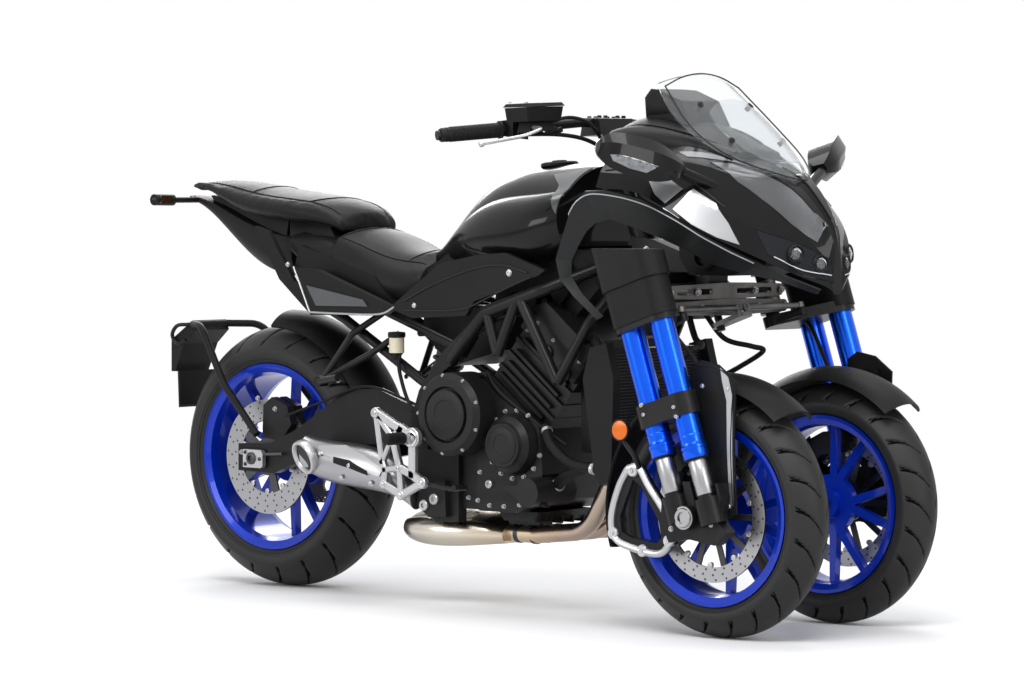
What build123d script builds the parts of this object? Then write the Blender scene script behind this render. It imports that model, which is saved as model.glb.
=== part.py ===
from build123d import *
from math import cos, radians, sin, tan
import os

# A leaning three-wheeled motorcycle with two steered wheels in front and one driven wheel behind.
# Millimetres. X points forward, Y to the rider's left, Z up, and the floor is Z = 0.
# "side" is -1 on the rider's right and +1 on the rider's left.

sides = ((-1, "right"), (1, "left"))

# Chassis
wheelbase = 1510
front_axle_x = 801
rear_axle_x = front_axle_x - wheelbase
half_track = 205
caster = 20
kingpin_setback = 24.3
kingpin_radius = 16

# Wheels
front_radius = 274
front_tyre_half = 60
front_rim_radius = 190
front_rim_half = 45
rear_radius = 322.8
rear_tyre_half = 95
rear_rim_radius = 216
rear_rim_half = 76
flange_height = 13
spindle_radius = 12.5
running_gap = 0.05

# Front legs: two upside-down tubes a side, outboard of the wheel
leg_y = 330
leg_rake = 18.5
leg_level = 482
rear_leg_x = 703.5
front_leg_x = 794
tube_radius = 27
slider_radius = 20.5
tube_top = 838
tube_bottom = 404
slider_bottom = 318
lower_yoke_z = 700
upper_yoke_z = 820
shaft_bottom = lower_yoke_z - 19
shaft_top = upper_yoke_z - 19
clamp_z = 506
cover_top = 858

# Brake discs
front_disc_radius = 149
front_disc_offset = 47
disc_thickness = 5
rear_disc_radius = 141
rear_disc_y = -88

# Tilting arms between the two front legs
lower_arm_z = 722
upper_arm_z = 758
arm_lead = 36
carrier_bottom = 703
carrier_top = 772
tie_rod_lead = 70
tie_rod_y = 14
ball_pin_radius = 5
centre_pin_radius = 9

# Engine and drive
crank_x, crank_z = 151, 396
clutch_x, clutch_z = -3, 461
case_half = 160
output_x, output_z = -42, 402
chain_y = 108
chain_half_height = 7
rear_sprocket_radius = 118.9
front_sprocket_radius = 40.8

# Swingarm
pivot_x, pivot_z = -114, 397
right_arm_y = -128
left_arm_y = 133
arm_thickness = 26

# Handlebar
stem_x, stem_z = 291, 1128
stem_rake = 24
stem_radius = 16

# Side stand
stand_x, stand_y, stand_z = -60, 180, 232
stand_lean = 15
stand_length = 176
stand_pin_radius = 7

os.makedirs("parts", exist_ok=True)


def save(builder, name):
    """Labels a finished piece and writes it as its own STEP file."""
    builder.part.label = name
    export_step(builder.part, f"parts/{name}.step")


def rod(start, end, radius, mode=Mode.ADD):
    """A round bar between two points."""
    run = Vector(*end) - Vector(*start)
    with BuildSketch(Plane(origin=start, z_dir=run)) as section:
        Circle(radius)
    extrude(section.sketch, amount=run.length, mode=mode)


def pipe(points, radius, bends):
    """A round pipe along straight runs joined by tangent bends."""
    with BuildLine() as route:
        FilletPolyline(*points, radius=bends)
    with BuildSketch(Plane(origin=route.line @ 0, z_dir=route.line % 0)) as section:
        Circle(radius)
    sweep(section.sketch, path=route.line)


def slab(outline, y, thickness, mode=Mode.ADD):
    """A flat plate with an outline of (x, z) points, centred on y."""
    with BuildSketch(Plane.XZ.offset(-y)) as face:
        Polygon(*outline, align=None)
    extrude(face.sketch, amount=thickness / 2, both=True, mode=mode)


def drum(x, z, radius, y_from, y_to, mode=Mode.ADD):
    """A round boss whose axis runs across the vehicle."""
    with BuildSketch(Plane.XZ.offset(-y_from)) as face:
        with Locations((x, z)):
            Circle(radius)
    extrude(face.sketch, amount=y_from - y_to, mode=mode)


def block(x_from, x_to, y_from, y_to, z_from, z_to, mode=Mode.ADD):
    """A plain block between two corners."""
    with BuildSketch(Plane.XY.offset(z_from)) as face:
        with Locations(((x_from + x_to) / 2, (y_from + y_to) / 2)):
            Rectangle(x_to - x_from, y_to - y_from)
    extrude(face.sketch, amount=z_to - z_from, mode=mode)


def turned(x, z, y_base, side, steps):
    """A turned cover on the engine's side: (radius, height) steps from its rim inward."""
    plane = Plane(origin=(x, y_base, z), x_dir=(1, 0, 0), z_dir=(0, 0, 1))
    rim, top = steps[0], steps[-1]
    with BuildSketch(plane) as profile:
        Polygon((0, 0), (rim[0], 0), *[(radius, side * height) for radius, height in steps],
                (0, side * top[1]), align=None)
    revolve(profile.sketch, axis=Axis((x, y_base, z), (0, 1, 0)))


def slant_plane(origin, angle):
    """A plane across an axis in XZ that leans back from upright by angle; its X runs forward."""
    lean = radians(angle)
    return Plane(origin=origin, x_dir=(cos(lean), 0, sin(lean)), z_dir=(-sin(lean), 0, cos(lean)))


def leg_point(leg_x, side, z):
    """A point on the axis of a front leg's tube at the height z."""
    return (leg_x - (z - leg_level) * tan(radians(leg_rake)), side * leg_y, z)


def kingpin_point(side, z):
    """A point on the steering axis of a front wheel at the height z."""
    foot_x = front_axle_x - kingpin_setback * cos(radians(caster))
    foot_z = front_radius - kingpin_setback * sin(radians(caster))
    return (foot_x - (z - foot_z) * tan(radians(caster)), side * half_track, z)


def ball_point(side, pivot_y, rise):
    """The joint of a tie rod on the steered arm pivoting at pivot_y, raised along the steering axis."""
    pivot = kingpin_point(side, shaft_bottom)
    lean = radians(caster)
    x = pivot[0] + tie_rod_lead * cos(lean) - rise * sin(lean)
    z = pivot[2] + tie_rod_lead * sin(lean) + rise * cos(lean)
    return (x, side * (pivot_y + tie_rod_y), z)


def stem_point(z):
    """A point on the handlebar's steering axis at the height z."""
    return (stem_x + (stem_z - z) * tan(radians(stem_rake)), 0, z)


def stand_axis_point(along):
    """A point on the side stand's hinge, outward along its tilted axis."""
    return (stand_x, stand_y + along * cos(radians(stand_lean)), stand_z + along * sin(radians(stand_lean)))


def body_section(x, bottom, shoulder, top, half_bottom, half_middle, half_shoulder):
    """A closed cross-section of bodywork at x: flat below, with bowed sides and a bowed top."""
    middle = (bottom + shoulder) / 2
    with BuildSketch(Plane.YZ.offset(x)) as section:
        with BuildLine():
            Line((-half_bottom, bottom), (half_bottom, bottom))
            ThreePointArc((half_bottom, bottom), (half_middle, middle), (half_shoulder, shoulder))
            ThreePointArc((half_shoulder, shoulder), (0, top), (-half_shoulder, shoulder))
            ThreePointArc((-half_shoulder, shoulder), (-half_middle, middle), (-half_bottom, bottom))
        make_face()
    return section.sketch


def body(rows, mode=Mode.ADD):
    """Bodywork lofted through cross-sections, one row of body_section values each."""
    loft([body_section(*row) for row in rows], mode=mode)


# Wheels


def tyre(x, y, z, radius, half_width, rim_radius, rim_half, drop):
    """A road tyre with a round crown, seated between the rim's flanges."""
    plane = Plane(origin=(x, y, z), x_dir=(0, 1, 0), z_dir=(1, 0, 0))
    lip = rim_radius + flange_height
    shoulder = radius - drop
    # share of the half width, share of the crown's drop
    crown_steps = [(0.96, 1.0), (0.86, 0.62), (0.62, 0.28), (0.32, 0.07), (0.0, 0.0)]
    half_profile = [(0, rim_radius), (rim_half, rim_radius), (rim_half, lip), (half_width, (lip + shoulder) / 2)]
    half_profile += [(half_width * across, radius - drop * down) for across, down in crown_steps]
    with BuildSketch(plane) as face:
        Polygon(*half_profile, align=None)
        mirror(about=Plane.YZ)
    revolve(face.sketch, axis=Axis((x, y, z), (0, 1, 0)))


def rim_barrel(x, y, z, rim_radius, rim_half):
    """The hoop of a cast rim: two flanges, bead seats and a dished barrel."""
    lip = rim_radius + flange_height
    flange = 7
    wall = 8
    well = 5
    plane = Plane(origin=(x, y, z), x_dir=(0, 1, 0), z_dir=(1, 0, 0))
    half_profile = [
        (0, rim_radius), (rim_half, rim_radius), (rim_half, lip), (rim_half + flange, lip),
        (rim_half + flange, lip - wall), (rim_half + 2, rim_radius - wall),
        (rim_half - 18, rim_radius - wall - well), (0, rim_radius - wall - well),
    ]
    with BuildSketch(plane) as face:
        Polygon(*half_profile, align=None)
        mirror(about=Plane.YZ)
    revolve(face.sketch, axis=Axis((x, y, z), (0, 1, 0)))


def spokes(x, y, z, count, hub_radius, reach, spread, width_in, width_out, thickness):
    """Arms that leave the hub together and part before the rim."""
    plane = Plane(origin=(x, y, z), x_dir=(1, 0, 0), z_dir=(0, -1, 0))
    root_x = hub_radius * 0.8
    tip_x = reach * cos(radians(spread))
    tip_y = reach * sin(radians(spread))
    with BuildSketch(plane) as face:
        Circle(hub_radius)
        with PolarLocations(0, count):
            for turn in (-1, 1):
                Polygon(
                    (root_x, turn * (tip_y * 0.1 - width_in / 2)), (root_x, turn * (tip_y * 0.1 + width_in / 2)),
                    (tip_x, turn * (tip_y + width_out / 2)), (tip_x, turn * (tip_y - width_out / 2)),
                    align=None,
                )
    extrude(face.sketch, amount=thickness / 2, both=True)


def disc(x, y, z, radius, band, hub_radius, bore_radius, arms, arm_width):
    """A brake disc: a flat braking band on a carrier with open arms."""
    plane = Plane(origin=(x, y, z), x_dir=(1, 0, 0), z_dir=(0, -1, 0))
    inner = radius - band
    with BuildSketch(plane) as face:
        Circle(radius)
        Circle(inner, mode=Mode.SUBTRACT)
        Circle(hub_radius)
        with PolarLocations((inner + hub_radius) / 2, arms):
            Rectangle(inner - hub_radius + 14, arm_width)
        Circle(bore_radius, mode=Mode.SUBTRACT)
    extrude(face.sketch, amount=disc_thickness / 2, both=True)


hub_bore = spindle_radius + running_gap
hub_radius = 34

for side, name in sides:
    wheel_y = side * half_track
    disc_y = wheel_y + side * front_disc_offset
    disc_inner_y = disc_y - side * disc_thickness / 2

    with BuildPart() as front_tyre:
        tyre(front_axle_x, wheel_y, front_radius, front_radius, front_tyre_half,
             front_rim_radius, front_rim_half, 42)
    save(front_tyre, f"tyre_front_{name}")

    with BuildPart() as front_rim:
        rim_barrel(front_axle_x, wheel_y, front_radius, front_rim_radius, front_rim_half)
        spokes(front_axle_x, wheel_y - side * 12, front_radius, 5, 66, 182, 15, 22, 15, 20)
        drum(front_axle_x, front_radius, hub_radius, wheel_y - side * 38, disc_inner_y)
        drum(front_axle_x, front_radius, hub_bore, wheel_y - side * 60, wheel_y + side * 60, Mode.SUBTRACT)
    save(front_rim, f"rim_front_{name}")

    with BuildPart() as front_disc:
        disc(front_axle_x, disc_y, front_radius, front_disc_radius, 34, 46, 28, 10, 14)
    save(front_disc, f"disc_front_{name}")

with BuildPart() as rear_tyre:
    tyre(rear_axle_x, 0, rear_radius, rear_radius, rear_tyre_half, rear_rim_radius, rear_rim_half, 56)
save(rear_tyre, "tyre_rear")

rear_disc_inner_y = rear_disc_y + disc_thickness / 2
sprocket_half = 4
with BuildPart() as rear_rim:
    rim_barrel(rear_axle_x, 0, rear_radius, rear_rim_radius, rear_rim_half)
    spokes(rear_axle_x, -6, rear_radius, 5, 64, 206, 13, 20, 13, 22)
    drum(rear_axle_x, rear_radius, 40, rear_disc_inner_y, chain_y - sprocket_half)
    drum(rear_axle_x, rear_radius, 76, 34, 76)
    drum(rear_axle_x, rear_radius, hub_bore, -120, 120, Mode.SUBTRACT)
save(rear_rim, "rim_rear")

# The brake disc on the right and, inside the chain's rear bend, the driven sprocket on the left
with BuildPart() as rear_discs:
    disc(rear_axle_x, rear_disc_y, rear_radius, rear_disc_radius, 52, 46, 24, 5, 22)
    with BuildSketch(Plane(origin=(rear_axle_x, chain_y, rear_radius), x_dir=(1, 0, 0), z_dir=(0, -1, 0))):
        Circle(rear_sprocket_radius - chain_half_height - 1)
        with PolarLocations(82, 5):
            SlotOverall(46, 26, rotation=90, mode=Mode.SUBTRACT)
        Circle(30, mode=Mode.SUBTRACT)
    extrude(amount=sprocket_half, both=True)
save(rear_discs, "disc_and_sprocket_rear")

with BuildPart() as chain:
    for grow, mode in ((chain_half_height, Mode.ADD), (-chain_half_height, Mode.SUBTRACT)):
        with BuildSketch(Plane.XZ.offset(-chain_y)) as loop:
            with Locations((rear_axle_x, rear_radius)):
                Circle(rear_sprocket_radius + grow)
            with Locations((output_x, output_z)):
                Circle(front_sprocket_radius + grow)
            make_hull()
        extrude(loop.sketch, amount=9, both=True, mode=mode)
save(chain, "drive_chain")

# Front legs

leg_spread = (front_leg_x - rear_leg_x) * cos(radians(leg_rake)) / 2
leg_middle_x = (front_leg_x + rear_leg_x) / 2


def leg_hull(side, z, height, grow, with_kingpin, mode=Mode.ADD):
    """A casting around both leg tubes, square to them, reaching to the steering axis or not."""
    plane = slant_plane(leg_point(leg_middle_x, side, z), leg_rake)
    shaft = plane.to_local_coords(Vector(*kingpin_point(side, z)))
    with BuildSketch(plane) as face:
        with Locations((-leg_spread, 0), (leg_spread, 0)):
            Circle(tube_radius + grow)
        if with_kingpin:
            with Locations((shaft.X, shaft.Y)):
                Circle(kingpin_radius + grow)
        make_hull()
    extrude(face.sketch, amount=height / 2, both=True, mode=mode)


def bore_legs(side, radius):
    """The holes that the two leg tubes pass through."""
    for leg_x in (rear_leg_x, front_leg_x):
        rod(leg_point(leg_x, side, tube_bottom), leg_point(leg_x, side, tube_top), radius, Mode.SUBTRACT)


stay_outline = [(600, 374), (642, 380), (672, 338), (732, 270), (738, 210), (700, 176), (612, 186),
                (560, 204), (552, 262)]
stay_window = [(618, 346), (640, 334), (692, 258), (700, 222), (686, 208), (616, 216), (586, 228), (582, 262)]
bracket_outline = [(728, 345), (792, 352), (880, 352), (888, 320), (880, 268), (905, 246), (872, 216), (800, 226),
                   (745, 215), (722, 262)]
caliper_outline = [(690, 322), (670, 366), (706, 410), (754, 434), (806, 440), (812, 416), (800, 388),
                   (748, 380), (724, 352), (716, 322)]

for side, name in sides:
    wheel_y = side * half_track
    disc_y = wheel_y + side * front_disc_offset

    with BuildPart() as fork_tubes:
        for leg_x in (rear_leg_x, front_leg_x):
            rod(leg_point(leg_x, side, tube_bottom), leg_point(leg_x, side, tube_top), tube_radius)
    save(fork_tubes, f"fork_tubes_{name}")

    # Two yokes on the steering shaft, the tie-rod arm and the clamp half way down the tubes
    with BuildPart() as yokes:
        leg_hull(side, lower_yoke_z, 26, 9, True)
        leg_hull(side, upper_yoke_z, 22, 8, True)
        rod(kingpin_point(side, shaft_bottom), kingpin_point(side, shaft_top), kingpin_radius)
        with BuildSketch(slant_plane(kingpin_point(side, shaft_bottom), caster)) as tie_arm:
            Circle(22)
            with Locations((tie_rod_lead, side * tie_rod_y)):
                Circle(11)
            make_hull()
        extrude(tie_arm.sketch, amount=7, both=True)
        rod(ball_point(side, half_track, 0), ball_point(side, half_track, 26), ball_pin_radius)
        leg_hull(side, clamp_z, 50, 8, False)
        bore_legs(side, tube_radius)
    save(yokes, f"fork_yokes_{name}")

    # Foot casting with the wheel spindle, the caliper over the disc's upper rear edge
    with BuildPart() as foot:
        for leg_x in (rear_leg_x, front_leg_x):
            rod(leg_point(leg_x, side, 262), leg_point(leg_x, side, slider_bottom), tube_radius + 2)
        slab(bracket_outline, side * 316, 34)
        for leg_x in (rear_leg_x, front_leg_x):
            rod(leg_point(leg_x, side, slider_bottom), leg_point(leg_x, side, 380), tube_radius + 6, Mode.SUBTRACT)
        drum(front_axle_x, front_radius, 27, side * 300, side * 352)
        drum(front_axle_x, front_radius, 20, side * 299, disc_y + side * disc_thickness)
        drum(front_axle_x, front_radius, spindle_radius, side * 300, wheel_y - side * 46)
        slab(caliper_outline, disc_y, 64)
        slab([(706, 330), (746, 370), (746, 320), (724, 300)], side * 292, 20)
        slab([(716, 280), (660, 355), (700, 412), (760, 440), (830, 460), (830, 380), (790, 300)],
             disc_y, disc_thickness + 4, Mode.SUBTRACT)
        for leg_x in (rear_leg_x, front_leg_x):
            rod(leg_point(leg_x, side, slider_bottom - 20), leg_point(leg_x, side, tube_bottom), slider_radius)
        slab(stay_outline, side * 296, 12)
        slab(stay_window, side * 296, 12, Mode.SUBTRACT)
    save(foot, f"fork_foot_{name}")

    # Plastic cover round the tops of the tubes
    with BuildPart() as cover:
        for z_low, z_high, grow in ((700, 780, 12), (780, 900, 17)):
            middle = (z_low + z_high) / 2
            leg_hull(side, middle, (z_high - z_low) / cos(radians(leg_rake)), grow, False)
        block(400, 900, side * leg_y - 80, side * leg_y + 80, cover_top, cover_top + 200, Mode.SUBTRACT)
        bore_legs(side, tube_radius)
        leg_hull(side, lower_yoke_z, 27, 9.3, True, Mode.SUBTRACT)
        leg_hull(side, upper_yoke_z, 23, 8.3, True, Mode.SUBTRACT)
    save(cover, f"fork_cover_{name}")

    # Mudguard: a crowned band round the tyre and a side panel beside the legs
    with BuildPart() as fender:
        front_turn = radians(49)
        band_plane = Plane(origin=(front_axle_x, wheel_y, front_radius), x_dir=(0, 1, 0),
                           z_dir=(sin(front_turn), 0, -cos(front_turn)))
        with BuildSketch(band_plane) as band:
            with BuildLine():
                ThreePointArc((-68, 284), (0, 313), (68, 284))
                Line((68, 284), (64, 281))
                ThreePointArc((64, 281), (0, 309), (-64, 281))
                Line((-64, 281), (-68, 284))
            make_face()
        revolve(band.sketch, axis=Axis((front_axle_x, wheel_y, front_radius), (0, -1, 0)), revolution_arc=148)
        slab([(772, 598), (800, 617), (850, 608), (897, 574), (893, 440), (901, 284), (868, 270), (835, 282),
              (790, 430), (772, 540)], side * 291, 5)
        slab([(790, 570), (860, 580), (860, 560), (790, 550)], side * 280, 22)
    save(fender, f"fender_{name}")

# Frame, engine and drive

with BuildPart() as frame:
    for side, name in sides:
        pipe([(-40, side * 162, 584), (20, side * 178, 640), (82, side * 188, 700), (246, side * 184, 754),
              (412, side * 40, 838)], 15, [60, 60, 60])
        rod((90, side * 188, 700), (124, side * 190, 604), 12)
        rod((178, side * 187, 730), (124, side * 190, 604), 12)
        rod((190, side * 187, 735), (300, side * 184, 545), 13)
        pipe([(300, side * 184, 545), (384, side * 168, 690), (424, side * 40, 826)], 12, [60])
        slab([(-165, 380), (-112, 372), (-108, 440), (-100, 510), (-60, 562), (-6, 592), (30, 640), (8, 664),
              (-70, 600), (-140, 510), (-165, 440)], side * 158, 20)
    rod((-140, -150, 500), (-140, 150, 500), 12)
    slab([(-150, 378), (-100, 376), (-38, 256), (-38, 216), (-70, 208), (-96, 250)], 158, 20)
    rod(stand_axis_point(-20), stand_axis_point(18), stand_pin_radius)
    rod(stem_point(936), stem_point(820), 27)
    # casting that reaches forward over the tilting arms and down between their plates
    slab([(392, 880), (404, 812), (540, 798), (582, 792), (588, 708), (616, 708), (622, 804), (560, 840),
          (460, 872)], 0, 70)
    for z in (lower_arm_z, upper_arm_z):
        x = kingpin_point(1, z)[0]
        rod((x - arm_lead + 5, 0, z), (x + arm_lead - 5, 0, z), 14)
    rod(kingpin_point(0, 668), kingpin_point(0, 720), centre_pin_radius)
    rod(stem_point(950), stem_point(790), stem_radius + running_gap, Mode.SUBTRACT)
save(frame, "main_frame")

with BuildPart() as subframe:
    for side, name in sides:
        pipe([(-146, side * 134, 524), (-420, side * 118, 668), (-600, side * 100, 742)], 12, [80])
        pipe([(-60, side * 134, 620), (-330, side * 112, 704), (-600, side * 100, 742)], 11, [80])
        pipe([(-300, side * 122, 686), (-370, side * 150, 637), (-442, side * 178, 524)], 8, [30])
        pipe([(-442, side * 178, 524), (-312, side * 150, 590), (-240, side * 126, 640)], 8, [40])
        rod((-442, side * 168, 522), (-442, side * 196, 522), 13)
        rod((-442, side * 188, 522), (-366, side * 206, 534), 9)
    for x, z in ((-330, 704), (-590, 740)):
        rod((x, -112, z), (x, 112, z), 10)
    rod((-180, -120, 644), (-180, 120, 644), 9)
save(subframe, "rear_subframe")

crankcase = [(36, 556), (110, 500), (225, 440), (236, 330), (205, 262), (150, 236), (36, 236)]
gearbox = [(-84, 330), (-84, 440), (-96, 480), (-56, 545), (40, 560), (60, 520), (60, 236), (-30, 236), (-84, 262)]
with BuildPart() as engine:
    slab(crankcase, 0, 2 * case_half)
    fillet(engine.edges().filter_by(Axis.Y), 12)
    slab(gearbox, -33, 206)
    slab([(52, 545), (215, 420), (312, 540), (154, 668)], 0, 250)
    for step in range(4):
        slab([(52 + step * 26, 545 + step * 31), (215 + step * 26, 420 + step * 31),
              (221 + step * 26, 427 + step * 31), (58 + step * 26, 552 + step * 31)], 0, 268)
    slab([(154, 668), (312, 540), (350, 586), (190, 714)], 0, 286)
    slab([(190, 714), (350, 586), (366, 606), (352, 640), (240, 728)], 0, 310)
    slab([(60, 236), (180, 236), (164, 212), (76, 212)], -10, 200)
    for row in (-85, 0, 85):
        rod((200, row, 690), (150, row, 760), 24)
    drum(230, 290, 34, -70, -70 - case_half + 20)
save(engine, "engine")

# Round covers as (radius, height) steps: clutch and crank on the right, generator on the left
clutch_steps = [(98, 70), (97, 80), (84, 92), (66, 92), (62, 84), (38, 84), (34, 88)]
crank_steps = [(72, 6), (66, 26), (54, 38), (50, 46)]
generator_steps = [(90, 6), (82, 34), (62, 46), (24, 52)]
with BuildPart() as covers:
    turned(clutch_x, clutch_z, -136, -1, clutch_steps)
    slab([(36, 556), (110, 500), (120, 380), (36, 340)], -136 - 12, 24, Mode.SUBTRACT)
    turned(crank_x, crank_z, -case_half, -1, crank_steps)
    turned(crank_x, crank_z, case_half, 1, generator_steps)
    slab([(-84, 350), (-84, 455), (0, 462), (30, 400), (30, 350)], 138, 28)
save(covers, "engine_covers")

with BuildPart() as radiator:
    slab([(404, 624), (440, 624), (462, 334), (426, 334)], 0, 330)
    for side, name in sides:
        slab([(384, 556), (404, 628), (452, 640), (474, 560), (468, 330), (440, 316), (420, 340)], side * 182, 26)
save(radiator, "radiator")

with BuildPart() as headers:
    for row in (-85, 0, 85):
        pipe([(354, row, 576), (392, row, 540), (385, row, 330), (300, row * 0.8, 196), (120, row * 0.5, 176),
              (20, row * 0.45, 176)], 20, [40, 110, 110, 60])
    loft([
        body_section(40, 152, 190, 206, 50, 74, 60),
        body_section(-40, 150, 205, 224, 70, 118, 90),
        body_section(-200, 150, 205, 224, 70, 122, 90),
        body_section(-262, 158, 196, 212, 50, 86, 60),
    ])
save(headers, "exhaust_pipes")


def oval(x, y, z, radius_y, radius_z):
    """An upright oval section of the muffler, facing rearward."""
    with BuildSketch(Plane(origin=(x, y, z), x_dir=(0, -1, 0), z_dir=(-1, 0, 0))) as section:
        Ellipse(radius_y, radius_z)
    return section.sketch


with BuildPart() as muffler:
    loft([oval(-150, -165, 250, 22, 22), oval(-190, -182, 296, 34, 40), oval(-320, -192, 326, 42, 52),
          oval(-470, -196, 350, 34, 42)])
    loft([oval(-400, -194, 340, 30, 38), oval(-472, -196, 350, 30, 38)], mode=Mode.SUBTRACT)
save(muffler, "muffler")

right_arm_outline = [(-92, 380), (-92, 420), (-120, 450), (-300, 508), (-400, 500), (-560, 400), (-650, 362),
                     (-760, 356), (-760, 290), (-640, 288), (-430, 366), (-226, 380)]
left_arm_outline = [(-92, 380), (-92, 420), (-140, 436), (-330, 430), (-640, 362), (-760, 356), (-760, 290),
                    (-640, 288), (-330, 350), (-140, 366)]
with BuildPart() as swingarm:
    slab(right_arm_outline, right_arm_y, arm_thickness)
    slab(left_arm_outline, left_arm_y, arm_thickness)
    slab([(-300, 400), (-320, 478), (-390, 474), (-520, 394), (-430, 392)], right_arm_y, 12 * 2, Mode.SUBTRACT)
    slab([(-300, 400), (-320, 478), (-390, 474), (-520, 394), (-430, 392)], right_arm_y + 8, 6)
    block(-342, -282, right_arm_y, left_arm_y, 372, 426)
    drum(pivot_x, pivot_z, 26, right_arm_y, left_arm_y)
    drum(rear_axle_x, rear_radius, spindle_radius, right_arm_y - 24, left_arm_y + 24)
    for y_outer in (right_arm_y - 13, left_arm_y + 13):
        side = 1 if y_outer > 0 else -1
        slab([(-752, 346), (-676, 346), (-676, 299), (-752, 299)], y_outer + side * 2, 4)
        with BuildSketch(Plane.XZ.offset(-y_outer - side * 4)) as nut:
            with Locations((rear_axle_x, rear_radius)):
                RegularPolygon(17, 6)
        extrude(nut.sketch, amount=-side * 9)
save(swingarm, "swingarm")

with BuildPart() as rear_caliper:
    slab([(-704, 372), (-700, 452), (-672, 472), (-620, 452), (-606, 408), (-640, 366)], (right_arm_y + 13 - 62) / 2, 53)
    slab([(-740, 340), (-720, 480), (-600, 480), (-560, 400), (-640, 340)], rear_disc_y, disc_thickness + 4,
         Mode.SUBTRACT)
    drum(rear_axle_x, rear_radius, rear_disc_radius + 30, -60, -116, Mode.INTERSECT)
save(rear_caliper, "rear_caliper")

with BuildPart() as damper:
    rod((-232, 0, 424), (-196, 0, 560), 22)
    rod((-196, 0, 560), (-182, 0, 634), 12)
    rod((-226, 0, 446), (-186, 0, 612), 32)
    rod((-180, -30, 644), (-180, 30, 644), 9, Mode.SUBTRACT)
save(damper, "rear_damper")

# Bodywork

with BuildPart() as tank:
    body([
        (-172, 806, 838, 852, 60, 72, 55),
        (-90, 806, 890, 935, 90, 115, 85),
        (20, 806, 950, 1015, 125, 165, 110),
        (130, 806, 970, 1040, 150, 196, 135),
        (250, 830, 980, 1046, 160, 210, 150),
        (306, 856, 985, 1042, 154, 196, 150),
    ])
save(tank, "fuel_tank")

with BuildPart() as side_panels:
    for side, name in sides:
        slab([(-200, 704), (-127, 682), (40, 692), (66, 726), (262, 790), (280, 802), (162, 840), (77, 834),
              (-39, 813)], side * 200, 14)
        slab([(-672, 892), (-625, 880), (-598, 840), (-540, 760), (-201, 706), (-246, 684), (-485, 680),
              (-590, 764)], side * 168, 12)
save(side_panels, "side_panels")

with BuildPart() as rider_seat:
    body([
        (-176, 724, 814, 842, 112, 124, 84),
        (-230, 716, 812, 834, 138, 150, 100),
        (-320, 728, 830, 852, 148, 160, 122),
        (-400, 742, 856, 880, 150, 162, 128),
        (-446, 752, 866, 886, 150, 160, 124),
    ])
    body([
        (-446, 760, 850, 862, 146, 154, 118),
        (-530, 790, 868, 880, 144, 150, 112),
        (-604, 840, 882, 892, 132, 138, 104),
    ])
save(rider_seat, "rider_seat")

with BuildPart() as passenger_seat:
    body([
        (-449, 872, 902, 918, 96, 106, 86),
        (-500, 892, 932, 946, 118, 128, 100),
        (-600, 906, 950, 966, 132, 145, 110),
        (-720, 916, 962, 980, 125, 138, 105),
        (-880, 960, 985, 998, 95, 105, 80),
        (-1010, 974, 981, 987, 55, 60, 45),
    ])
save(passenger_seat, "passenger_seat")

with BuildPart() as tail:
    body([
        (-610, 770, 862, 886, 88, 110, 100),
        (-700, 784, 876, 892, 80, 104, 98),
        (-820, 838, 908, 924, 60, 85, 78),
        (-950, 922, 948, 954, 30, 52, 48),
        (-1046, 952, 962, 964, 16, 24, 20),
    ])
save(tail, "tail_cowl")



def nose_section(x, bottom, shoulder, top, half_bottom, half_middle, half_shoulder):
    """A creased cross-section: flared side, shoulder edge, long crease and centre ridge."""
    # half width, height
    half = [
        (0, bottom), (half_bottom, bottom), (half_middle, (bottom + shoulder) / 2 + 4),
        (half_shoulder * 1.05, shoulder + 5), (half_shoulder * 0.58, top - (top - shoulder) * 0.16),
        (half_shoulder * 0.24, top - (top - shoulder) * 0.12), (0, top),
    ]
    with BuildSketch(Plane.YZ.offset(x)) as section:
        Polygon(*half, align=None)
        mirror(about=Plane.YZ)
    return section.sketch


# x, bottom, shoulder, top, half_bottom, half_middle, half_shoulder
nose_skin = [
    (500, 994, 1052, 1075, 291, 276, 238),
    (580, 987, 1050, 1090, 287, 268, 222),
    (660, 958, 1046, 1098, 273, 250, 196),
    (740, 907, 1028, 1058, 244, 226, 150),
    (815, 865, 984, 1031, 202, 190, 108),
    (880, 826, 920, 990, 146, 140, 74),
    (935, 786, 850, 925, 60, 76, 40),
    (955, 757, 800, 850, 14, 22, 12),
]
nose_wall = 8
nose_hollow = [
    (x - 3, bottom - 2, shoulder - nose_wall, top - nose_wall,
     half_bottom - nose_wall, half_middle - nose_wall, half_shoulder - nose_wall)
    for x, bottom, shoulder, top, half_bottom, half_middle, half_shoulder in nose_skin[:-1]
]
cockpit_opening = [(480, -178), (540, -176), (660, -134), (735, -98), (735, 98), (660, 134), (540, 176), (480, 178)]


def lamp_windows(inset):
    """The two lamps' outlines seen from ahead, made smaller by inset."""
    for side, name in sides:
        with BuildSketch(Plane.YZ.offset(820)) as window:
            Polygon((side * 14, 782), (side * 22, 836), (side * 84, 872), (side * 166, 902), (side * 150, 846),
                    (side * 84, 800), align=None)
            offset(amount=-inset, kind=Kind.INTERSECTION)
        yield window.sketch


with BuildPart() as nose:
    loft([nose_section(*row) for row in nose_skin])
    loft([nose_section(*row) for row in nose_hollow], mode=Mode.SUBTRACT)
    with BuildSketch(Plane.XY.offset(1000)) as opening:
        Polygon(*cockpit_opening, align=None)
    extrude(opening.sketch, amount=200, mode=Mode.SUBTRACT)
    for window in lamp_windows(0):
        extrude(window, amount=200, mode=Mode.SUBTRACT)
save(nose, "nose_cowl")

with BuildPart() as lamps:
    loft([nose_section(*row) for row in nose_skin])
    loft([nose_section(*row) for row in nose_hollow], mode=Mode.SUBTRACT)
    with BuildPart(mode=Mode.INTERSECT):
        for window in lamp_windows(1):
            extrude(window, amount=200)
save(lamps, "headlights")

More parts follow.
